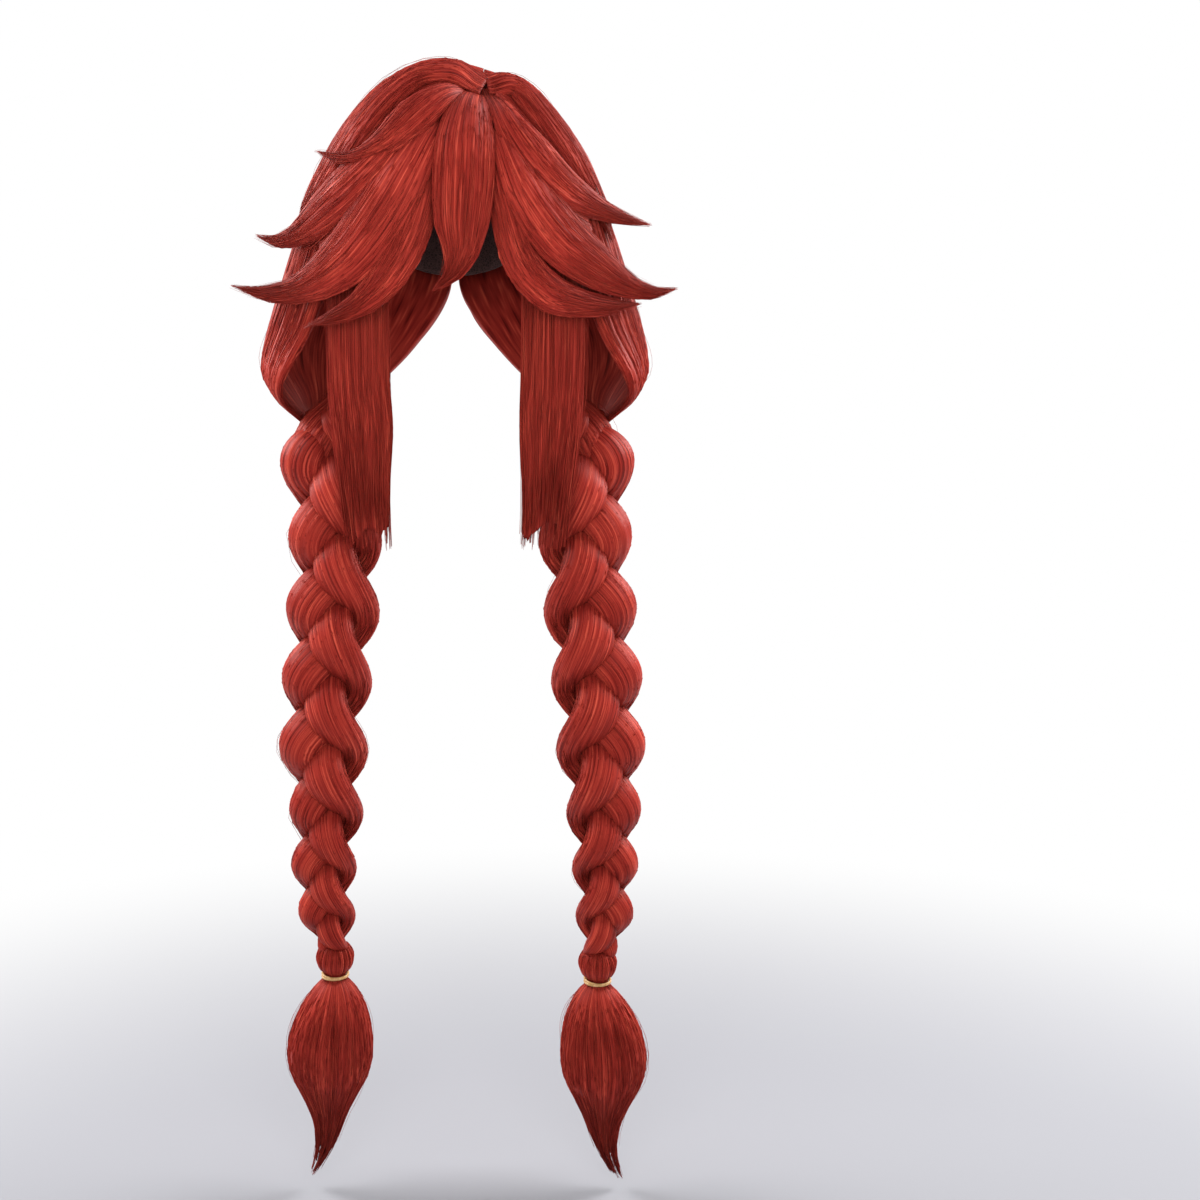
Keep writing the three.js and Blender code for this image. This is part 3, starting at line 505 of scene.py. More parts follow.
def add(tree, kind, settings=None, **links):
    """Adds a node. settings are its properties and unlinked sockets. links name what feeds a socket,
    by the socket's name or as i and its number."""
    node = tree.nodes.new(kind)
    for key, value in (settings or {}).items():
        if isinstance(key, str) and hasattr(node, key):
            setattr(node, key, value)
        else:
            node.inputs[key].default_value = value
    for key, source in links.items():
        numbered = key[0] == "i" and key[1:].isdigit()
        tree.links.new(source, node.inputs[int(key[1:]) if numbered else key])
    return node


def ramp(tree, source, stops):
    """Hex colours at places along the source's value."""
    node = add(tree, "ShaderNodeValToRGB", i0=source)
    band = node.color_ramp
    while len(band.elements) < len(stops):
        band.elements.new(0.5)
    for element, (place, colour) in zip(band.elements, stops):
        element.position, element.color = place, srgb(colour)
    return node.outputs["Color"]


def wig_fibre():
    """Heat-resistant synthetic wig fibre, extruded and combed straight: a satin gloss drawn out
    across the fibres, tones that differ from strand to strand, a warm bright rim against light, and
    painted shade that darkens the base colour where other hair lies near."""
    material, tree, shader = new_material("heat_resistant_wig_fibre")
    flow = add(tree, "ShaderNodeUVMap", {"uv_map": "flow"}).outputs["UV"]

    def streaks(across, along, detail=2.0):
        """Noise drawn out along the hair; the sizes are in millimetres."""
        drawn = {"Scale": (1 / across, 1 / along, 1.0)}
        place = add(tree, "ShaderNodeMapping", drawn, Vector=flow).outputs["Vector"]
        noise = {"Scale": 1.0, "Detail": detail, "Roughness": 0.55}
        return add(tree, "ShaderNodeTexNoise", noise, Vector=place).outputs["Fac"]

    def weigh(source, weight, rest):
        """The source times its weight, and the rest."""
        summed = add(tree, "ShaderNodeMath", {"operation": "MULTIPLY_ADD", 1: weight}, i0=source, i2=rest)
        return summed.outputs[0]

    locks = streaks(6.0, 90.0)
    strands = streaks(1.8, 70.0)
    # A real fibre is 0.08 mm thick; it is drawn as bundles of 0.9 mm so that it shows.
    hairs = streaks(0.9, 45.0, 1.0)
    tone = add(tree, "ShaderNodeMath", {"operation": "MULTIPLY", 1: 0.2}, i0=locks).outputs[0]
    tone = weigh(hairs, 0.38, weigh(strands, 0.42, tone))
    colour = ramp(tree, tone, FIBRE_TONES)
    # Painted shade: the base colour is darkened by the ambient occlusion where other hair lies near, in
    # creases, hollows and under other locks, standing in for the light that dies out between fibres.
    near = {"Distance": PAINTED_SHADE_REACH * MM, "samples": 2}
    painted_shade_occlusion = add(tree, "ShaderNodeAmbientOcclusion", near).outputs["AO"]
    occlusion_to_painted_shade = {"From Min": 0.08, "From Max": 0.75, "To Min": 0.3, "To Max": 1.15}
    depth = add(tree, "ShaderNodeMapRange", occlusion_to_painted_shade, Value=painted_shade_occlusion).outputs["Result"]
    colour = add(tree, "ShaderNodeVectorMath", {"operation": "SCALE"}, i0=colour, Scale=depth).outputs[0]
    tree.links.new(colour, shader.inputs["Base Color"])
    rough = add(tree, "ShaderNodeMapRange", {"To Min": 0.42, "To Max": 0.6}, Value=strands).outputs["Result"]
    tree.links.new(rough, shader.inputs["Roughness"])
    height = weigh(hairs, 0.6, strands)
    bump = add(tree, "ShaderNodeBump", {"Strength": 0.55, "Distance": 0.6 * MM}, Height=height)
    tree.links.new(bump.outputs["Normal"], shader.inputs["Normal"])
    tangent = add(tree, "ShaderNodeTangent", {"direction_type": "UV_MAP", "uv_map": "flow"}).outputs[0]
    tree.links.new(tangent, shader.inputs["Tangent"])
    shader.inputs["IOR"].default_value = 1.38
    shader.inputs["Specular IOR Level"].default_value = 0.3
    shader.inputs["Specular Tint"].default_value = srgb("#ff8a70")
    shader.inputs["Anisotropic"].default_value = 0.6
    shader.inputs["Sheen Weight"].default_value = 0.16
    shader.inputs["Sheen Roughness"].default_value = 0.3
    shader.inputs["Sheen Tint"].default_value = srgb("#f2482e")
    return material


def stretch_net():
    """Nylon stretch net, knitted: matt, dark, with open cells of about 2 mm."""
    material, tree, shader = new_material("nylon_stretch_net")
    place = add(tree, "ShaderNodeTexCoord").outputs["Object"]
    cells = add(tree, "ShaderNodeTexVoronoi", {"feature": "DISTANCE_TO_EDGE", "Scale": 480.0}, Vector=place)
    colour = ramp(tree, cells.outputs["Distance"], [(0.04, "#5a3f3b"), (0.2, "#2c1a18")])
    tree.links.new(colour, shader.inputs["Base Color"])
    sunk = {"Strength": 0.5, "Distance": 0.5 * MM, "invert": True}
    bump = add(tree, "ShaderNodeBump", sunk, Height=cells.outputs["Distance"])
    tree.links.new(bump.outputs["Normal"], shader.inputs["Normal"])
    shader.inputs["Roughness"].default_value = 0.85
    shader.inputs["Sheen Weight"].default_value = 0.2
    return material


def natural_rubber():
    """Natural rubber band, calendered and cut: amber tan, satin, faintly mottled."""
    material, tree, shader = new_material("natural_rubber_band")
    place = add(tree, "ShaderNodeTexCoord").outputs["Object"]
    mottle = add(tree, "ShaderNodeTexNoise", {"Scale": 420.0, "Detail": 3.0}, Vector=place).outputs["Fac"]
    colour = ramp(tree, mottle, [(0.35, "#b98a4e"), (0.65, "#d8b07a")])
    tree.links.new(colour, shader.inputs["Base Color"])
    rough = add(tree, "ShaderNodeMapRange", {"To Min": 0.35, "To Max": 0.55}, Value=mottle).outputs["Result"]
    tree.links.new(rough, shader.inputs["Roughness"])
    shader.inputs["IOR"].default_value = 1.52
    return material


FIBRE = wig_fibre()
NET = stretch_net()
RUBBER = natural_rubber()


# The crown: each half falls from the parting, bulges into a loop and is gathered. A row says how a
# half spreads at one share of its fall; edge is the front hem's angle in degrees.
FALL = np.array(
    # down, spread, fore, edge, swell
    [
        (0.0, 1.0, 1.0, 44, 0),
        (0.14, 1.07, 0.9, 45, 0),
        (0.3, 1.14, 0.76, 47, 0.1),
        (0.46, 1.21, 0.62, 49, 0.3),
        (0.6, 1.265, 0.5, 51, 0.6),
        (0.72, 1.3, 0.42, 56, 0.9),
        (0.82, 1.295, 0.34, 63, 1.0),
        (0.91, 1.24, 0.24, 74, 0.85),
        (1.0, 1.1, 0.16, 86, 0.3),
    ]
)
DOME_ROWS = 6
SMOOTH_PASSES = 14


def room_at(points):
    """The room between a point and the cap."""
    offset = points + [0, 0, CAP_HEIGHT]
    far = np.linalg.norm(offset, axis=-1)
    height = np.where(offset[..., 2] > 0, CAP_HEIGHT, CAP_LOWER_HEIGHT)
    semi = np.stack([np.full(far.shape, CAP_WIDTH / 2.0), np.full(far.shape, CAP_DEPTH / 2.0), height], -1)
    total = ((offset / far[..., None] / (semi + CAP_WALL)) ** 2).sum(-1)
    return far - 1 / np.sqrt(total)


def crown_route(side, column):
    """The hair's way for one column of a crown half."""
    part = math.radians(blend(-PART_FRONT_ANGLE, PART_BACK_ANGLE, column))
    shift = (PART_OFFSET * (1 - float(ease(column, 0.35, 1))) + side * PART_GAP / 2) / DOME_TOP
    start = unit(np.array([shift, math.sin(part), math.cos(part)]))
    turn = math.radians(blend(FALL[0, 3], BACK_TURN, column))
    end = np.array([side * math.sin(turn), -math.cos(turn), 0])
    between = math.acos(np.clip(start @ end, -1, 1))
    route = []
    for i in range(DOME_ROWS):
        share = (i / DOME_ROWS) ** 1.15
        x, y, z = unit(start * math.sin((1 - share) * between) + end * math.sin(share * between))
        depth = DOME_FRONT if y < 0 else DOME_BACK
        total = sum(abs(d / s) ** DOME_ROUNDNESS for d, s in ((x, DOME_SIDE), (y, depth), (z, DOME_TOP)))
        reach = total ** (-1 / DOME_ROUNDNESS) - (PART_GROOVE if i == 0 else 0)
        route.append((x * reach, y * reach, z * reach - CAP_HEIGHT))
    gather_start = blend(0.88, 0.26, float(ease(column, 0.05, 0.9)))
    front_share = (1 - min(1, column / 0.45)) ** 2
    for down, spread, fore, edge, swell in FALL:
        turn = math.radians(blend(edge, BACK_TURN, column))
        across, ahead = side * math.sin(turn), math.cos(turn)
        pull = max(0.0, (down - gather_start) / (1 - gather_start)) ** 1.7
        back = DOME_BACK * blend(1, NAPE_DEPTH, float(ease(down, 0, 0.8)))
        depth = DOME_FRONT * fore if ahead > 0 else back
        x = blend(across * DOME_SIDE * spread, side * GATHER_OUT + across * GATHER_RADIUS, pull)
        y = blend(-ahead * depth, GATHER_BACK - ahead * GATHER_RADIUS, pull)
        route.append((x, y - LOOP_SWELL * swell * front_share, -blend(CAP_HEIGHT, LOOP_DROP, down)))
    turn = math.radians(blend(FALL[-1, 3], BACK_TURN, column))
    x = side * (GATHER_OUT + math.sin(turn) * CURL_RADIUS)
    y = GATHER_BACK - math.cos(turn) * CURL_RADIUS
    route.append((x, y, -LOOP_DROP - CURL_DROP))
    return np.array(route)


def crown_rings(side, rows=112, columns=190, inner_columns=36, hem_points=7):
    """A crown half as closed rings: outside, round the front hem, and back along the inside."""
    shares = np.linspace(1, 0, columns)
    routes = np.stack([crown_route(side, c) for c in shares], axis=1)
    lengths = np.linalg.norm(np.diff(routes, axis=0), axis=2).mean(axis=1)
    knots = np.concatenate([[0], np.cumsum(lengths)])
    index = np.interp(np.linspace(0, knots[-1], rows), knots, np.arange(len(knots))) / (len(knots) - 1)
    outer = np.stack([bent_through(routes[:, c], index) for c in range(columns)], axis=1)
    for _ in range(SMOOTH_PASSES):
        outer[1:-1] += 0.25 * (outer[2:] - 2 * outer[1:-1] + outer[:-2])
    along = np.gradient(outer, axis=0)
    aside = -np.gradient(outer, axis=1)
    normal = unit(np.cross(along, aside) * side)
    # The wall thins towards both hems. The solid's crown has eleven columns, counted from 0 to 10.
    column = shares * 10
    hem = np.minimum(1, 0.45 + 2.6 * np.minimum(column, 10 - column) / 11)[None]
    thickness = CROWN_THICKNESS * (0.42 + 0.5 * ease(index, 0, 0.3) - 0.68 * ease(index, 0.55, 1))[:, None]
    wall = np.minimum(thickness * hem, 0.9 * room_at(outer) - 1)
    inner = outer - normal * np.maximum(wall, 0.6)[..., None]
    inner[:, 0, 0] = side * np.maximum(side * inner[:, 0, 0], PART_GAP / 2)
    pick = np.linspace(columns - 1, 0, inner_columns).round().astype(int)
    front_out, front_in = outer[:, -1], inner[:, -1]
    half = np.linalg.norm(front_out - front_in, axis=1, keepdims=True) / 2
    ahead = unit(outer[:, -1] - outer[:, -4])
    turn = np.linspace(0, np.pi, hem_points + 2)[1:-1]
    rim = [
        (front_out + front_in) / 2 + (front_out - front_in) / 2 * math.cos(t) + ahead * half * math.sin(t)
        for t in turn
    ]
    return np.concatenate([outer, np.stack(rim, axis=1), inner[:, pick]], axis=1), columns, hem_points


for name, side in SIDES.items():
    rings, columns, hem_points = crown_rings(side)
    count = rings.shape[1]
    mesh = comb(
        f"crown_half_{name}",
        rings,
        around=480,
        along=430,
        seed=11 + side,
        clump=8,
        relief=1.5,
        split=columns + hem_points // 2,
        fibres=760,
        lay=(0.004, (columns + hem_points) / count),
        thickness=0.42,
        shortest=0.12,
        longest=0.45,
        free_end=False,
    )
    wear(mesh, f"crown_{name}")


# Where a loop is gathered, in millimetres.
GATHER = np.array(
    # height, out, back, half width, half depth
    [
        (-240, 72, 20, 9, 9), (-256, 80, 17, 17, 15), (-272, 90, 12, 24, 21), (-287, 99, 7, 30, 26),
        (-302, 104, 2, 32, 28), (-317, 106, -1, 29, 25), (-331, 107, -3, 23, 19), (-345, 107, -4, 11, 10),
    ],
    float,
)


def gather_rings(side, steps=40, columns=84):
    """The hair of a loop where it is gathered and turned into the plait."""
    share = np.linspace(0, 1, steps)
    height, out, back = bent_through(GATHER[:, :3], share).T
    wide, deep, _ = bent_through(np.c_[GATHER[:, 3:], GATHER[:, 0]], share).T
    turn = np.arange(columns)[None] / columns * 2 * np.pi + side * 1.3 * share[:, None]
    x = side * out[:, None] + np.cos(turn) * wide[:, None]
    y = back[:, None] + np.sin(turn) * deep[:, None]
    return np.stack([x, y, np.tile(height[:, None], (1, columns))], -1)


for name, side in SIDES.items():
    mesh = comb(
        f"gather_{name}",
        gather_rings(side),
        around=180,
        along=110,
        seed=25 + side,
        clump=9,
        relief=1.6,
        fibres=260,
        thickness=0.36,
        loose=0.06,
        loose_reach=7,
        free_end=False,
    )
    wear(mesh)


# The locks. A row is one section: across, front and down in shares of the hair's half width, its
# front and its drop, and width and thick in shares of a lock's. The number before the rows says how
# far the lock's flat side turns to the front.
LOCKS = {
    "side_lock_left": (2.2, [
        (-0.46, 0.6, 0.58, 0.7, 0.6), (-0.48, 0.56, 0.75, 0.86, 0.85), (-0.48, 0.52, 1.08, 0.87, 0.9),
        (-0.462, 0.51, 1.22, 0.86, 0.85), (-0.448, 0.505, 1.44, 0.68, 0.7), (-0.425, 0.5, 1.65, 0.58, 0.45),
    ]),
    "side_lock_right": (2.2, [
        (0.47, 0.6, 0.58, 0.7, 0.6), (0.49, 0.56, 0.75, 0.88, 0.85), (0.485, 0.52, 1.08, 0.88, 0.9),
        (0.475, 0.51, 1.22, 0.86, 0.85), (0.458, 0.505, 1.44, 0.68, 0.7), (0.435, 0.5, 1.65, 0.58, 0.45),
    ]),
    "bang_left": (0.6, [
        (0.03, 0.6, 0.12, 0.2, 0.4), (-0.07, 0.83, 0.28, 0.38, 0.7), (-0.135, 0.89, 0.4, 0.44, 0.85),
        (-0.18, 0.9, 0.52, 0.46, 0.9), (-0.25, 0.88, 0.65, 0.49, 0.9), (-0.35, 0.84, 0.76, 0.44, 0.85),
        (-0.46, 0.77, 0.83, 0.33, 0.7), (-0.6, 0.68, 0.87, 0.17, 0.5), (-0.75, 0.57, 0.9, 0.04, 0.16),
    ]),
    "flick_left_low": (0.6, [
        (0.0, 0.62, 0.12, 0.2, 0.4), (-0.13, 0.86, 0.28, 0.44, 0.75), (-0.24, 0.93, 0.41, 0.6, 0.95),
        (-0.36, 0.88, 0.54, 0.68, 1), (-0.5, 0.79, 0.66, 0.66, 0.95), (-0.66, 0.65, 0.74, 0.5, 0.85),
        (-0.81, 0.51, 0.775, 0.32, 0.65), (-0.97, 0.4, 0.775, 0.17, 0.4), (-1.13, 0.34, 0.745, 0.04, 0.15),
    ]),
    "flick_left_mid": (0.6, [
        (-0.05, 0.64, 0.12, 0.2, 0.4), (-0.22, 0.84, 0.26, 0.42, 0.75), (-0.37, 0.85, 0.38, 0.56, 0.95),
        (-0.51, 0.76, 0.46, 0.6, 0.95), (-0.66, 0.6, 0.53, 0.52, 0.85), (-0.79, 0.44, 0.58, 0.3, 0.65),
        (-0.9, 0.34, 0.595, 0.15, 0.4), (-1.01, 0.29, 0.57, 0.04, 0.15),
    ]),
    "flick_left_high": (0.6, [
        (0.09, 0.58, 0.09, 0.2, 0.35), (-0.07, 0.77, 0.15, 0.38, 0.65), (-0.2, 0.85, 0.23, 0.46, 0.8),
        (-0.31, 0.88, 0.305, 0.36, 0.7), (-0.42, 0.84, 0.345, 0.23, 0.5), (-0.54, 0.75, 0.355, 0.13, 0.35),
        (-0.68, 0.66, 0.32, 0.04, 0.15),
    ]),
    "sweep_left": (0, [
        (0.155, 0.565, 0.072, 0.62, 0.6), (-0.02, 0.54, 0.036, 0.6, 0.85), (-0.19, 0.49, 0.045, 0.58, 0.95),
        (-0.35, 0.52, 0.125, 0.66, 1), (-0.495, 0.56, 0.25, 0.66, 0.95), (-0.63, 0.52, 0.385, 0.56, 0.8),
        (-0.735, 0.42, 0.5, 0.38, 0.55), (-0.81, 0.32, 0.6, 0.12, 0.2),
    ]),
    "bang_right": (0.6, [
        (0.165, 0.58, 0.1, 0.2, 0.4), (0.19, 0.85, 0.38, 0.3, 0.75), (0.24, 0.88, 0.55, 0.33, 0.9),
        (0.315, 0.86, 0.7, 0.42, 0.9), (0.445, 0.79, 0.79, 0.43, 0.85), (0.6, 0.66, 0.82, 0.35, 0.7),
        (0.78, 0.52, 0.825, 0.2, 0.45), (0.93, 0.42, 0.81, 0.05, 0.15),
    ]),
    "flick_right_low": (0.6, [
        (0.17, 0.58, 0.1, 0.2, 0.4), (0.25, 0.87, 0.34, 0.38, 0.8), (0.35, 0.89, 0.48, 0.54, 1),
        (0.5, 0.8, 0.61, 0.62, 1), (0.67, 0.65, 0.69, 0.54, 0.85), (0.84, 0.5, 0.75, 0.34, 0.65),
        (0.99, 0.4, 0.775, 0.15, 0.4), (1.12, 0.34, 0.755, 0.04, 0.15),
    ]),
    "flick_right_high": (0.6, [
        (0.175, 0.56, 0.09, 0.2, 0.35), (0.26, 0.8, 0.24, 0.42, 0.75), (0.38, 0.84, 0.36, 0.52, 0.9),
        (0.52, 0.76, 0.45, 0.46, 0.85), (0.67, 0.6, 0.495, 0.31, 0.65), (0.83, 0.45, 0.525, 0.17, 0.4),
        (0.99, 0.35, 0.54, 0.04, 0.15),
    ]),
    "sweep_right": (0, [
        (0.163, 0.54, 0.068, 0.56, 0.6), (0.31, 0.48, 0.085, 0.54, 0.9), (0.455, 0.53, 0.2, 0.6, 0.95),
        (0.59, 0.54, 0.335, 0.54, 0.85), (0.71, 0.44, 0.47, 0.38, 0.6), (0.8, 0.34, 0.6, 0.12, 0.2),
    ]),
    "bang_centre": (0.6, [
        (0.11, 0.56, 0.085, 0.25, 0.35), (0.07, 0.79, 0.19, 0.52, 0.75), (0.05, 0.92, 0.31, 0.63, 0.95),
        (0.04, 0.97, 0.44, 0.66, 1), (0.03, 0.99, 0.58, 0.58, 0.9), (0.025, 0.99, 0.68, 0.4, 0.7),
        (-0.02, 0.985, 0.75, 0.2, 0.45), (-0.11, 0.98, 0.8, 0.04, 0.15),
    ]),
}


def lock_rings(forward, rows, pointed, steps=56, columns=76):
    """A lock's lens-shaped sections along its route, with its width lying along the hair."""
    table = np.array(rows, float)
    share = np.linspace(0, 1, steps)
    centre = bent_through(table[:, :3] * [HAIR_HALF_WIDTH, -HAIR_FRONT, -HAIR_DROP], share)
    sizes = table[:, 3:] * [LOCK_WIDTH, LOCK_THICKNESS]
    width, thick, _ = bent_through(np.c_[sizes, np.zeros(len(rows))], share).T
    tangent = unit(np.gradient(centre, axis=0))
    aside = unit(np.cross(tangent, outwards(centre) - [0, forward, 0]))
    out = unit(np.cross(aside, tangent))
    turn = np.arange(columns) / columns * 2 * np.pi
    if pointed:
        width = width * (1 - 0.8 * ease(share, 0.84, 1))
        thick = thick * (1 - 0.7 * ease(share, 0.84, 1))
        width = width * (1 + 0.2 * ease(share, 0.1, 0.3) * (1 - ease(share, 0.55, 0.8)))
        thick = thick * 0.86
    thick = thick * (0.15 + 0.85 * ease(share, 0, 0.16))
    centre = centre - outwards(centre) * (ROOT_SINK * (1 - ease(share, 0, 0.12)))[:, None]
    over = np.cos(turn)[None] * width[:, None] / 2
    lens = np.sign(np.sin(turn)) * np.abs(np.sin(turn)) ** (1.3 if forward == 0 else 1.9 if pointed else 1.5)
    high = lens[None] * thick[:, None] / 2 - over**2 / (2 * DOME_SIDE)
    rings = centre[:, None] + aside[:, None] * over[..., None] + out[:, None] * high[..., None]
    length = np.linalg.norm(np.diff(centre, axis=0), axis=1).sum()
    return rings, 2.3 * width.max(), length


for number, (name, (forward, rows)) in enumerate(LOCKS.items()):
    straight = name.startswith("side")
    rings, around, along = lock_rings(forward, rows, not straight)
    mesh = comb(
        f"{name}_hair",
        rings,
        around,
        along,
        seed=40 + number,
        clump=7,
        relief=0.8,
        fibres=340 if straight else 230,
        thickness=0.36,
        body_end=0.985,
        ragged=0.11 if straight else 0.0,
        tip_clumps=16 if straight else 0,
        loose_reach=5 if straight else 3.5,
    )
    wear(mesh, name)


# The layer under the fringe, from lock to lock, and how far down each lock it reaches.
UNDER = {
    "left": [
        ("bang_centre", 0.42), ("bang_left", 0.4), ("flick_left_low", 0.62), ("flick_left_mid", 0.72),
        ("flick_left_high", 0.7), ("sweep_left", 0.5),
    ],
    "right": [
        ("bang_centre", 0.42), ("bang_right", 0.4), ("flick_right_low", 0.62), ("flick_right_high", 0.7),
        ("sweep_right", 0.5),
    ],
}


def layer_rings(spread, steps=64, columns=72):
    """A thin layer of hair whose ways run between those of its locks."""
    scale = [HAIR_HALF_WIDTH, -HAIR_FRONT, -HAIR_DROP]
    routes = [
        bent_through(np.array(LOCKS[name][1])[:, :3] * scale, np.linspace(0.05, end, steps))
        for name, end in spread
    ]
    places = np.linspace(0, 1, columns)
    sheet = np.stack([bent_through(row, places) for row in np.stack(routes, axis=1)])
    out = unit(outwards(sheet) - [0, 0.6, 0])
    edge = ease(np.minimum(places, 1 - places), -0.01, 0.05)[None, :, None]
    outer = sheet - out * (1.6 + 2.4 * (1 - edge))
    inner = sheet - out * (2.2 + 4.2 * edge)
    length = np.linalg.norm(np.diff(sheet, axis=0), axis=2).sum(axis=0).mean()
    width = np.linalg.norm(np.diff(sheet, axis=1), axis=2).sum(axis=1).max()
    return np.concatenate([outer, inner[:, ::-1]], axis=1), 2 * width, length


for name, spread in UNDER.items():
    rings, around, along = layer_rings(spread)
    mesh = comb(
        f"under_fringe_{name}",
        rings,
        around,
        along,
        seed=130 + SIDES[name],
        clump=8,
        relief=1.2,
        fibres=300,
        lay=(0.0, 0.5),
        thickness=0.4,
        body_end=0.96,
        ragged=0.14,
        loose=0.04,
    )
    wear(mesh)


# The plaits.
HANG = {
    # down, out, wide
    "left": [
        (0.0, 1.03, 0.84), (0.12, 0.98, 1.0), (0.28, 0.95, 0.9), (0.42, 0.98, 0.91), (0.52, 1.02, 0.88),
        (0.64, 1.04, 0.86), (0.74, 1.02, 0.72), (0.84, 1.04, 0.63), (0.93, 1.01, 0.54), (1.0, 0.95, 0.36),
    ],
    "right": [
        (0.0, 1.02, 0.82), (0.12, 1.02, 1.0), (0.28, 1.04, 0.9), (0.42, 1.09, 0.91), (0.52, 1.13, 0.88),
        (0.64, 1.16, 0.86), (0.74, 1.18, 0.72), (0.84, 1.19, 0.63), (0.93, 1.18, 0.54), (1.0, 1.13, 0.36),
    ],
}
STRAND_STEPS = 22


def hang_at(name, share):
    """A plait's middle line and half width at shares of its length."""
    line = bent_through(HANG[name], np.linspace(0, 1, 400))
    out, wide = (np.interp(share, line[:, 0], line[:, i]) for i in (1, 2))
    x = SIDES[name] * out * BRAID_SPREAD
    y = -BRAID_FORWARD * ease(share, 0, 0.25)
    z = -(BRAID_TOP_DROP + share * BRAID_LENGTHS[name])
    return np.stack([x, y, z], -1), wide * BRAID_HALF_WIDTH


def strand_rings(name, strand, steps=150, columns=60):
    """A strand that crosses outwards in front and comes back behind."""
    knots = np.linspace(0, 1, STRAND_STEPS + 1)
    _, half = hang_at(name, knots)
    pace = 2 * np.pi / 3 * BRAID_LENGTHS[name] / STRAND_STEPS / (LOBE_PITCH * half[:-1])
    phases = math.radians(FIRST_PHASE + strand * 120) + np.concatenate([[0], np.cumsum(pace)])
    share = np.linspace(0.03, 1, steps)
    phase = bent_through(np.c_[phases, knots, 0 * knots], share)[:, 0]
    centre, half = hang_at(name, share)
    turn = SIDES[name] * math.radians(BRAID_TURN)
    swing = SIDES[name] * (1 - STRAND_WIDTH) * half * np.sin(phase)
    weave = -WEAVE_DEPTH * half * np.sin(2 * phase)
    x = swing * math.cos(turn) - weave * math.sin(turn)
    y = swing * math.sin(turn) + weave * math.cos(turn)
    middle = centre + np.stack([x, y, 0 * share], -1)
    tangent = unit(np.gradient(middle, axis=0))
    aside = unit(np.cross(tangent, [-math.sin(turn), math.cos(turn), 0]))
    out = np.cross(aside, tangent)
    fullness = 0.25 + 0.75 * ease(share, 0.01, 0.12) - 0.65 * ease(share, 0.955, 1)
    angle = np.arange(columns) / columns * 2 * np.pi
    over = np.cos(angle)[None] * (STRAND_WIDTH * half * fullness)[:, None]
    high = np.sin(angle)[None] * (STRAND_DEPTH * half * fullness)[:, None]
    return middle[:, None] + aside[:, None] * over[..., None] + out[:, None] * high[..., None]


for name, side in SIDES.items():
    for strand in range(3):
        mesh = comb(
            f"plait_{name}_strand_{strand + 1}",
            strand_rings(name, strand),
            around=104,
            along=640,
            seed=70 + 5 * strand + side,
            clump=7,
            relief=0.9,
            fibres=470,
            fibre_rings=8,
            thickness=0.3,
            loose_reach=3.5,
            shortest=0.08,
            longest=0.3,
            free_end=False,
        )
        wear(mesh, f"braid_{name}_strand_{strand + 1}")


# The ends: knot, neck and brush.
BRUSH = [
    # down, wide
    (0.03, 0.4), (0.1, 0.62), (0.22, 0.87), (0.37, 1.0), (0.5, 0.93),
    (0.61, 0.69), (0.71, 0.45), (0.81, 0.3), (0.91, 0.18), (1.0, 0.08), (1.07, 0.03),
]


def neck_place(name):
    """Where the elastic sits."""
    centre, _ = hang_at(name, np.array([1.0]))
    return centre[0] - [0, 0, KNOT_LENGTH * 0.55]


def tail_rings(name, steps=74, columns=96):
    """Knot, neck and brush in one skin of rings."""
    knot = [
        (KNOT_LENGTH * high, KNOT_RADIUS * wide, 1, 0)
        for high, wide in ((1, 0.42), (0.87, 0.78), (0.62, 1), (0.38, 0.98), (0.18, 0.82))
    ]
    neck = [(end * NECK_LENGTH, NECK_RADIUS, 1, 0) for end in (0.5, -0.5)]
    brush = [
        (
            -NECK_LENGTH / 2 - down * TAIL_LENGTH,
            TAIL_RADIUS * wide,
            blend(1, TAIL_FLATNESS, float(ease(down, 0, 0.3))),
            TAIL_LEAN * float(ease(down, 0, 0.4)) + TIP_LEAN * max(0.0, down - 0.75) ** 2,
        )
        for down, wide in BRUSH
    ]
    profile = np.array(knot + neck + brush)
    heights = np.linspace(profile[0, 0], profile[-1, 0], steps)
    way = np.linspace(0, 1, 600)
    fine = np.c_[bent_through(profile[:, [0, 1, 3]], way), bent_through(profile[:, [0, 2, 3]], way)[:, 1]]
    radius, lean, flat = (np.interp(-heights, -fine[:, 0], fine[:, i]) for i in (1, 2, 3))
    turn = np.arange(columns) / columns * 2 * np.pi
    x = np.cos(turn)[None] * radius[:, None] + SIDES[name] * lean[:, None]
    y = np.sin(turn)[None] * (radius * flat)[:, None]
    return np.stack([x, y, np.tile(heights[:, None], (1, columns))], -1) + neck_place(name)


for name, side in SIDES.items():
    mesh = comb(
        f"brush_{name}",
        tail_rings(name),
        around=200,
        along=186,
        seed=95 + side,
        clump=13,
        relief=1.9,
        fibres=640,
        thickness=0.34,
        body_end=0.94,
        ragged=0.12,
        tip_clumps=9,
        loose=0.06,
        shortest=0.4,
        held=KNOT_LENGTH / (KNOT_LENGTH + NECK_LENGTH / 2 + BRUSH[-1][0] * TAIL_LENGTH),
    )
    wear(mesh, f"tail_{name}")


# The cap: an egg-shaped shell cut along a rim that falls from the front to the nape.
def select_only(piece):
    bpy.ops.object.select_all(action="DESELECT")
    piece.select_set(True)
    bpy.context.view_layer.objects.active = piece


def settle(piece, name):
    """Names a modelled piece and puts its place into its mesh."""
    piece.name = piece.data.name = name
    select_only(piece)
    bpy.ops.object.transform_apply(location=True, rotation=True, scale=True)


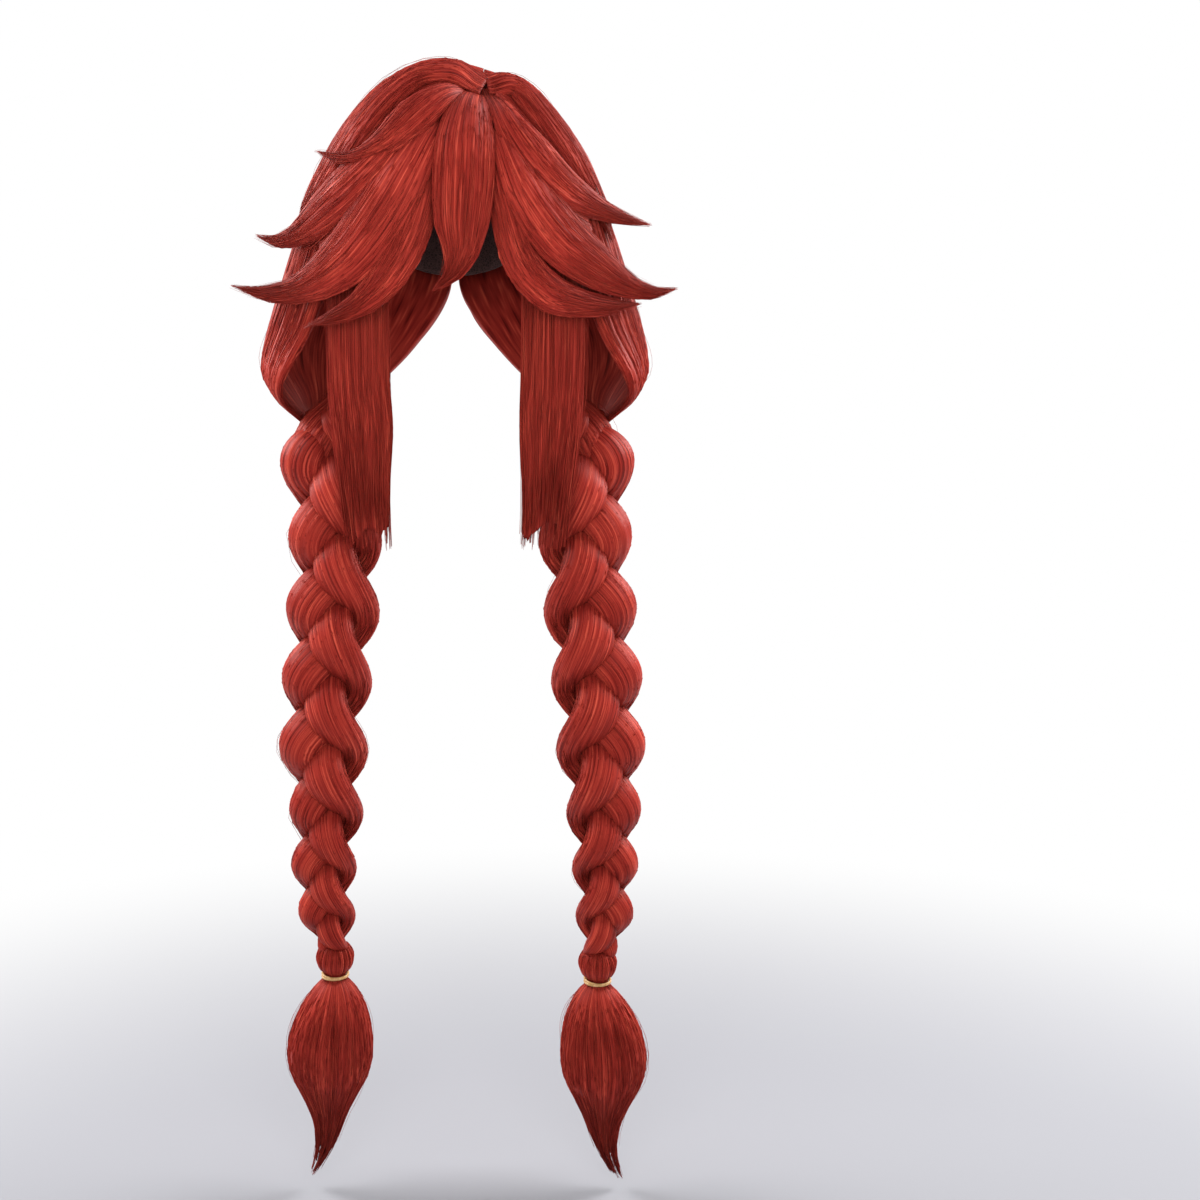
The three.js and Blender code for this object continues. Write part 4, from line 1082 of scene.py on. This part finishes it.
def stretch_cap():
    bpy.ops.mesh.primitive_uv_sphere_add(segments=48, ring_count=32, radius=1, location=(0, 0, 0))
    cap = bpy.context.object
    for point in cap.data.vertices:
        x, y, z = point.co
        height = CAP_HEIGHT if z > 0 else CAP_LOWER_HEIGHT
        point.co = (
            x * (CAP_WIDTH / 2 + CAP_WALL) * MM,
            y * (CAP_DEPTH / 2 + CAP_WALL) * MM,
            (z * (height + CAP_WALL) - CAP_HEIGHT) * MM,
        )
    slope = math.atan2(CAP_NAPE_DROP - CAP_FRONT_DROP, CAP_DEPTH)
    select_only(cap)
    bpy.ops.object.mode_set(mode="EDIT")
    bpy.ops.mesh.select_all(action="SELECT")
    bpy.ops.mesh.bisect(
        plane_co=(0, 0, -(CAP_FRONT_DROP + CAP_NAPE_DROP) / 2 * MM),
        plane_no=(0, math.sin(slope), math.cos(slope)),
        clear_inner=True,
    )
    bpy.ops.object.mode_set(mode="OBJECT")
    wall = cap.modifiers.new("wall", "SOLIDIFY")
    wall.thickness = CAP_WALL * MM
    wall.offset = -1
    bpy.ops.object.modifier_apply(modifier="wall")
    bpy.ops.object.shade_smooth()
    settle(cap, "stretch_cap")
    return cap


cap = stretch_cap()
cap.data.materials.append(NET)
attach(cap, "root")
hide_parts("cap")


# The elastics: a rubber band wound twice, so that two turns show.
def wound_band(name):
    x, y, z = neck_place(name)
    turns = []
    for end, tilt in ((0.5, 4), (-0.5, -3)):
        bpy.ops.mesh.primitive_torus_add(
            major_segments=48,
            minor_segments=12,
            major_radius=(NECK_RADIUS + BAND_ROOM) * MM,
            minor_radius=THREAD_RADIUS * MM,
            location=(x * MM, y * MM, (z + end * BAND_WIDTH * 0.48) * MM),
            rotation=(math.radians(tilt), math.radians(tilt * 0.6), 0),
        )
        turns.append(bpy.context.object)
    for turn in turns:
        turn.select_set(True)
    bpy.context.view_layer.objects.active = turns[0]
    bpy.ops.object.join()
    bpy.ops.object.shade_smooth()
    settle(turns[0], f"elastic_{name}")
    return turns[0]


for name in SIDES:
    band = wound_band(name)
    band.data.materials.append(RUBBER)
    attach(band, "root")
    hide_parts(f"band_{name}")


# The floor, the light and the camera.
def studio_floor():
    """A painted floor that pales into the distance."""
    bpy.ops.mesh.primitive_plane_add(size=14, location=(0, 0, FLOOR_HEIGHT))
    floor = bpy.context.object
    floor.name = "studio_floor"
    material, tree, shader = new_material("matt_floor_paint")
    shader.inputs["Base Color"].default_value = srgb(FLOOR_GREY)
    shader.inputs["Roughness"].default_value = 0.7
    place = add(tree, "ShaderNodeTexCoord").outputs["Object"]
    middle = {"operation": "SUBTRACT", 1: (0.15, -0.6, 0)}
    way = add(tree, "ShaderNodeVectorMath", middle, i0=place).outputs[0]
    far = add(tree, "ShaderNodeVectorMath", {"operation": "LENGTH"}, i0=way).outputs["Value"]
    paling = {"From Min": 0.78, "From Max": 1.5, "interpolation_type": "SMOOTHSTEP"}
    fade = add(tree, "ShaderNodeMapRange", paling, Value=far).outputs["Result"]
    glow = add(tree, "ShaderNodeEmission", {"Color": (1, 1, 1, 1), "Strength": 1.0}).outputs[0]
    mixed = add(tree, "ShaderNodeMixShader", i0=fade, i1=shader.outputs["BSDF"], i2=glow).outputs[0]
    tree.links.new(mixed, tree.nodes["Material Output"].inputs["Surface"])
    floor.data.materials.append(material)


studio_floor()

for name, (place, aim, size, watts) in SOFTBOXES.items():
    light = bpy.data.lights.new(name, "AREA")
    light.shape = "RECTANGLE"
    light.size, light.size_y = size
    light.energy = watts
    lamp = bpy.data.objects.new(name, light)
    bpy.context.scene.collection.objects.link(lamp)
    across, ahead, up = np.array(aim, float) - place
    lamp.location = place
    lamp.rotation_euler = (math.atan2(math.hypot(across, ahead), -up), 0, math.atan2(-across, ahead))

world = bpy.data.worlds.new("studio_white")
bpy.context.scene.world = world
world.use_nodes = True
tree = world.node_tree
tree.nodes.clear()
seen = add(tree, "ShaderNodeBackground", {"Color": (1, 1, 1, 1), "Strength": 1.0}).outputs[0]
lit = add(tree, "ShaderNodeBackground", {"Color": (0.97, 0.98, 1, 1), "Strength": SKY_LIGHT}).outputs[0]
direct = add(tree, "ShaderNodeLightPath").outputs["Is Camera Ray"]
sky = add(tree, "ShaderNodeMixShader", i0=direct, i1=lit, i2=seen).outputs[0]
add(tree, "ShaderNodeOutputWorld", Surface=sky)

camera_data = bpy.data.cameras.new("camera")
camera_data.sensor_width = 36
camera_data.lens = LENS
camera_data.shift_x, camera_data.shift_y = FRAME_SHIFT
camera_data.clip_end = 60
camera = bpy.data.objects.new("camera", camera_data)
camera.location = CAMERA_PLACE
camera.rotation_euler = (math.radians(90), 0, 0)
bpy.context.scene.collection.objects.link(camera)
bpy.context.scene.camera = camera
bpy.context.scene.view_settings.view_transform = "Standard"
